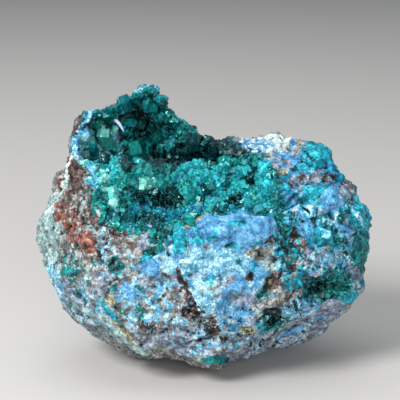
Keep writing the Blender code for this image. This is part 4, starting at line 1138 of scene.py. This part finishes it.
def reflection_flake_mesh(tree):
    """A curved strip, just behind the foremost thing that stands where the flake is seen."""
    eye = camera_point()
    across = from_face(Vector(REFLECTION_FLAKE_TURN).normalized())
    nearest = min((tree.ray_cast(eye, sight_line(pixel))[0] - eye).length for pixel, _ in REFLECTION_FLAKE)
    bm = bmesh.new()
    rows = []
    for pixel, width in REFLECTION_FLAKE:
        ray = sight_line(pixel)
        middle = eye + ray * (nearest + REFLECTION_FLAKE_SINKS * MM)
        half = across * width * PIXEL / 2 * MM
        deep = ray * REFLECTION_FLAKE_DEPTH * MM
        places = (middle + half, middle - half, middle - half + deep, middle + half + deep)
        rows.append([bm.verts.new(place) for place in places])
    for first, second in zip(rows, rows[1:]):
        for corner in range(4):
            after = (corner + 1) % 4
            bm.faces.new((first[corner], first[after], second[after], second[corner]))
    bm.faces.new(rows[0])
    bm.faces.new(rows[-1])
    bmesh.ops.recalc_face_normals(bm, faces=bm.faces)
    return finished_mesh(bm, "painted_reflection_flake")


def reflection_flake_material():
    nodes = Nodes("painted reflection flake")
    cloud, _ = nodes.noise(0.8)
    # pale tones that paint a reflection
    nodes.shade(Base_Color=nodes.ramp(cloud, (0.3, 0.6), REFLECTION_TONES), Roughness=0.3)
    return nodes.material


def add_reflection_flake(*carriers):
    """The curved flake that stands among the hollow's crystals, a painted reflection of a curved crystal face.
    """
    piece = add_object("painted_reflection_flake", reflection_flake_mesh(face_tree(*carriers)))
    add_modifier(piece, "round edges", "BEVEL", width=EDGE_WEAR * MM, segments=2)
    add_modifier(piece, "fine mesh", "SUBSURF", levels=2)
    settle(piece)
    piece.data.materials.append(reflection_flake_material())
    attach(piece, "root")


def crystal_places(points, face_points, pixels, amounts, crust):
    """How likely the crystals of each piece are at each point of the rock."""
    reach, wavelength = HOLLOW_WANDER
    front = HOLLOW_FRONT + reach * soft_noise(face_points, wavelength, HOLLOW_SEED)
    in_hollow = (face_points[:, 1] > front) | (pixels[:, 1] < HOLLOW_TOP)
    places = {
        "hollow_crystals": crust & in_hollow,
        "face_druse": crust & ~in_hollow,
        "right_pocket_druse": near_node(points, "right_pocket_crystals", CRUST_REACH),
        "lower_pocket_druse": near_node(points, "lower_pocket_crystals", CRUST_REACH),
    }
    covered = np.any(list(places.values()), axis=0)
    low = points[:, 2] < SPRINKLED_ABOVE * MM
    green = np.clip(sum(share * amounts[name] for name, share in GREEN.items()) - GREEN_LEAST, 0, 1)
    places["sprinkled_crystals"] = np.where(covered | low, 0.0, green)
    return places


def grow_crystals(rock, amounts, crust):
    """Sets the leading crystals and scatters the others over the rock."""
    rng = np.random.default_rng(CRYSTAL_SEED)
    mesh = rock.data
    envelope = face_tree(*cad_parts.values())
    points = vertex_array(mesh)
    normals = normal_array(mesh)
    face_points = to_face(points)
    pixels = pixels_of(face_points)
    areas = vertex_areas(mesh)
    cavity = cavity_of(mesh, points, normals, CLUSTER_ROUNDS)
    open_rock = (turned_to_face(normals)[:, 1] < OPEN_FACING) & ~along_edges(pixels)
    places = crystal_places(points, face_points, pixels, amounts, crust)
    materials = {True: crystal_material(*CLEAR), False: crystal_material(*MILKY)}

    grown = {}
    for name, count, least, most, spacing, root in CROPS:
        chances = places[name] * areas
        numbers, radii = spread(points / MM, chances / chances.sum(), count, (least, most), spacing, rng)
        radii = np.where(open_rock[numbers], radii, np.minimum(radii, EDGE_RADIUS))
        lean = np.array(from_face(TOWARDS)) + rng.normal(0, JITTER, (len(numbers), 3))
        directions = normals[numbers] + lean
        directions /= np.linalg.norm(directions, axis=1)[:, None]
        lengths = radii * rng.uniform(*LENGTHS, len(numbers))
        roots = points[numbers] / MM - directions * radii[:, None] * root
        corners = crystal_points(roots, directions, radii, lengths, rng)
        placed = sink(envelope, corners)
        looks = {mineral: amounts[mineral][numbers[placed]] for mineral in CRYSTAL_TONES}
        grown.setdefault(name, []).append((corners[placed], looks, cavity[numbers[placed]]))
    grown["hollow_crystals"].append(leading_crystals(rock, envelope, rng))
    for name, crops in grown.items():
        corners, looks, depths = zip(*crops)
        joined = {mineral: np.concatenate([look[mineral] for look in looks]) for mineral in CRYSTAL_TONES}
        material = materials[name in REPLACED]
        piece = add_crystals(name, np.concatenate(corners), joined, np.concatenate(depths), rng, material)
        if name == "hollow_crystals":
            add_reflection_flake(piece, rock)


def crystal_material(name, clearness, roughness, glint):
    """Dioptase: clear to milky, its facets of slightly different brightness."""
    nodes = Nodes(name)
    swell, _ = nodes.noise(1.1, detail=4.0)
    tone = nodes.total(
        (nodes.amount("facet"), 0.46),
        (nodes.amount("shade"), 0.2),
        (nodes.between(swell, 0.3, 0.7), 0.22),
        (nodes.amount("height"), 0.12),
    )
    _, edges = nodes.noise(2.0, detail=2.0, shift=0.07)
    edges = nodes.channels(edges)
    colour = None
    for number, (mineral, tones) in enumerate(CRYSTAL_TONES.items()):
        own = nodes.ramp(tone, (0.15, 0.5, 0.9), tones)
        if colour is None:
            colour = own
            continue
        ragged = nodes.math("SUBTRACT", edges[number % 3], 0.5)
        share = nodes.between(nodes.math("ADD", nodes.amount(mineral), ragged), 0.35, 0.65)
        colour = nodes.mix(share, colour, own)
    # painted shade: darker in the creases between clusters
    colour = nodes.tint(colour, nodes.amount("cavity"), 0.05, 0.55, linear(CREASE_SHADE_TINT))
    # pale veins: healed cracks, and painted glints like bright crystal edges
    crack, _ = nodes.noise(1.7, shift=0.11)
    vein = nodes.between(nodes.math("ABSOLUTE", nodes.math("SUBTRACT", crack, 0.5)), 0.022, 0.004)
    colour = nodes.mix(nodes.math("MULTIPLY", vein, 0.5), colour, linear(VEIN_AND_GLINT_COLOUR))
    etch, _ = nodes.noise(0.9)
    relief = nodes.bump(etch, strength=0.8, distance=0.24)
    nodes.shade(Base_Color=colour, Roughness=roughness, IOR=REFRACTION, Normal=relief)
    nodes.shade(Specular_IOR_Level=glint, Specular_Tint=SPECULAR_TINT, Transmission_Weight=clearness)
    if clearness > WITH_DEPTH:
        volume = nodes.add("ShaderNodeVolumeAbsorption", Color=ABSORPTION, Density=ABSORPTION_DENSITY)
        output = nodes.tree.nodes["Material Output"]
        nodes.feed(output.inputs["Volume"], volume.outputs["Volume"])
    return nodes.material


class Nodes:
    """A material's node tree, with short calls that add nodes and wire them."""

    def __init__(self, name):
        self.material = bpy.data.materials.new(name)
        self.material.use_nodes = True
        self.tree = self.material.node_tree
        self.shader = self.tree.nodes["Principled BSDF"]

    def feed(self, socket, value):
        if isinstance(value, bpy.types.NodeSocket):
            self.tree.links.new(value, socket)
        else:
            socket.default_value = value

    def feed_all(self, node, inputs):
        for name, value in inputs.items():
            self.feed(node.inputs[name.replace("_", " ")], value)

    def shade(self, **inputs):
        """Feeds the material's shader."""
        self.feed_all(self.shader, inputs)

    def add(self, kind, settings=None, **inputs):
        node = self.tree.nodes.new(kind)
        for name, value in (settings or {}).items():
            setattr(node, name, value)
        self.feed_all(node, inputs)
        return node

    def place(self):
        return self.add("ShaderNodeTexCoord").outputs["Object"]

    def math(self, operation, first, second=0.0):
        node = self.add("ShaderNodeMath", {"operation": operation})
        self.feed(node.inputs[0], first)
        self.feed(node.inputs[1], second)
        return node.outputs[0]

    def around_zero(self, value, width):
        """A value from 0 to 1 as one from minus half the width to half the width."""
        return self.math("MULTIPLY", self.math("SUBTRACT", value, 0.5), width)

    def tint(self, colour, value, low, high, tint):
        """A colour that takes on a tint as a value goes from low to high."""
        return self.mix(self.between(value, low, high), colour, tint, "MULTIPLY")

    def total(self, *parts):
        """The sum of some values, each times its own share."""
        weighted = [self.math("MULTIPLY", value, share) for value, share in parts]
        result = weighted[0]
        for part in weighted[1:]:
            result = self.math("ADD", result, part)
        return result

    def between(self, value, low, high):
        """A smooth step from 0 at low to 1 at high."""
        settings = {"interpolation_type": "SMOOTHSTEP"}
        node = self.add("ShaderNodeMapRange", settings, Value=value, From_Min=low, From_Max=high)
        return node.outputs["Result"]

    def mix(self, share, first, second, blend="MIX"):
        node = self.add("ShaderNodeMix", {"data_type": "RGBA", "blend_type": blend})
        self.feed(node.inputs[0], share)
        self.feed(node.inputs[6], first)
        self.feed(node.inputs[7], second)
        return node.outputs[2]

    def noise(self, size, detail=3.0, shift=0.0, roughness=0.5):
        """Noise with swells of a size in millimetres: a value, and a colour of three more values."""
        moved = self.add("ShaderNodeVectorMath", {"operation": "ADD"})
        self.feed(moved.inputs[0], self.place())
        self.feed(moved.inputs[1], (shift, shift, shift))
        vector = moved.outputs[0]
        scale = 1 / (size * MM)
        node = self.add("ShaderNodeTexNoise", Vector=vector, Scale=scale, Detail=detail, Roughness=roughness)
        return node.outputs["Fac"], node.outputs["Color"]

    def cells(self, size):
        """Cells of a size in millimetres, with three values of its own for each."""
        node = self.add("ShaderNodeTexVoronoi", Vector=self.place(), Scale=1 / (size * MM))
        return self.channels(node.outputs["Color"])

    def channels(self, colour):
        node = self.add("ShaderNodeSeparateColor", Color=colour)
        return [node.outputs[name] for name in ("Red", "Green", "Blue")]

    def amount(self, name):
        return self.add("ShaderNodeAttribute", {"attribute_name": name}).outputs["Fac"]

    def ramp(self, value, positions, colours):
        """Colours, as a screen shows them, that change with a value."""
        node = self.add("ShaderNodeValToRGB", Fac=value)
        elements = node.color_ramp.elements
        while len(elements) < len(colours):
            elements.new(1.0)
        for element, position, colour in zip(elements, positions, colours):
            element.position = position
            element.color = linear(colour)
        return node.outputs["Color"]

    def bump(self, height, strength, distance):
        node = self.add("ShaderNodeBump", Height=height, Strength=strength, Distance=distance * MM)
        return node.outputs["Normal"]


def linear(colour):
    """A colour as a screen shows it, as the shader's own values."""
    parts = [part / 12.92 if part < 0.04045 else ((part + 0.055) / 1.055) ** 2.4 for part in colour]
    return (*parts, 1.0)


def rock_material():
    """The rock: at each place the mineral that wins there, in a tone that changes from grain to grain."""
    nodes = Nodes("rock with its minerals")
    grain = nodes.cells(0.55)
    fine = nodes.cells(0.34)
    swell, _ = nodes.noise(2.2, detail=4.0)
    tone = nodes.total((grain[0], 0.34), (fine[0], 0.26), (nodes.between(swell, 0.3, 0.7), 0.4))

    edges = []
    for number in range(5):
        _, noise_colour = nodes.noise(2.1, detail=6.0, shift=0.05 * (number + 1), roughness=0.66)
        edges += nodes.channels(noise_colour)
    colour = linear(MINERALS["grit"].tones[1])
    best = 0.0
    for (name, mineral), edge in zip(MINERALS.items(), edges):
        own = nodes.ramp(tone, (0.15, 0.5, 0.85), mineral.tones)
        amount = nodes.math("POWER", nodes.amount(name), 0.6)
        ragged = nodes.math("MULTIPLY", nodes.around_zero(edge, 2.7), nodes.between(amount, 0.0, 0.3))
        score = nodes.math("ADD", amount, ragged)
        wins = nodes.between(nodes.math("SUBTRACT", score, best), -0.09, 0.15)
        colour = nodes.mix(wins, colour, own)
        best = nodes.math("MAXIMUM", best, score)

    cavity = nodes.amount("cavity")
    # painted shade: darker in the rock's dents
    colour = nodes.tint(colour, cavity, 0.02, 0.45, linear(DENT_SHADE_TINT))
    # lighter on the rock's edges
    colour = nodes.tint(colour, cavity, -0.08, -0.4, EDGE_LIGHTENING_TINT)
    # pale grains and painted glints: lighter specks
    colour = nodes.tint(colour, fine[2], 0.94, 0.97, SPECK_AND_GLINT_TINT)

    rough = nodes.math("ADD", nodes.amount("gloss"), nodes.around_zero(grain[1], 0.4))
    relief = nodes.bump(nodes.total((grain[2], 0.5), (fine[0], 0.5)), strength=0.85, distance=0.16)
    nodes.shade(Base_Color=colour, Roughness=rough, Specular_IOR_Level=0.25, Normal=relief)
    return nodes.material


def aim(obj, direction):
    obj.rotation_euler = direction.to_track_quat("-Z", "Y").to_euler()


def add_camera():
    data = bpy.data.cameras.new("photograph's view")
    data.sensor_width = SENSOR_WIDTH
    data.lens = SENSOR_WIDTH * CAMERA_DISTANCE / PHOTO_WIDTH
    data.clip_start = NEAREST_SEEN * MM
    camera = add_object("camera", data)
    camera.location = camera_point()
    aim(camera, from_face((0, 1, 0)))
    bpy.context.scene.camera = camera


def add_light(name, place, size, power, colour):
    """A soft square light that points at the stone."""
    data = bpy.data.lights.new(name, "AREA")
    data.size = size
    data.energy = power
    data.color = colour
    light = add_object(name, data)
    light.location = place
    aim(light, Vector(LIGHTS_AIM) - light.location)


def add_studio():
    bm = bmesh.new()
    bmesh.ops.create_grid(bm, x_segments=1, y_segments=1, size=FLOOR_SIZE)
    floor = add_object("floor", finished_mesh(bm, "floor"))
    nodes = Nodes("pale floor")
    nodes.shade(Base_Color=linear(FLOOR_COLOUR), Roughness=FLOOR_ROUGHNESS)
    floor.data.materials.append(nodes.material)

    for light in LIGHTS:
        add_light(*light)
    world = bpy.data.worlds.new("room")
    world.use_nodes = True
    background = world.node_tree.nodes["Background"]
    background.inputs["Color"].default_value = ROOM_COLOUR
    background.inputs["Strength"].default_value = ROOM_STRENGTH
    bpy.context.scene.world = world
    bpy.context.scene.view_settings.view_transform = "Standard"


rock, amounts, crust = make_rock()
grow_crystals(rock, amounts, crust)
add_camera()
add_studio()
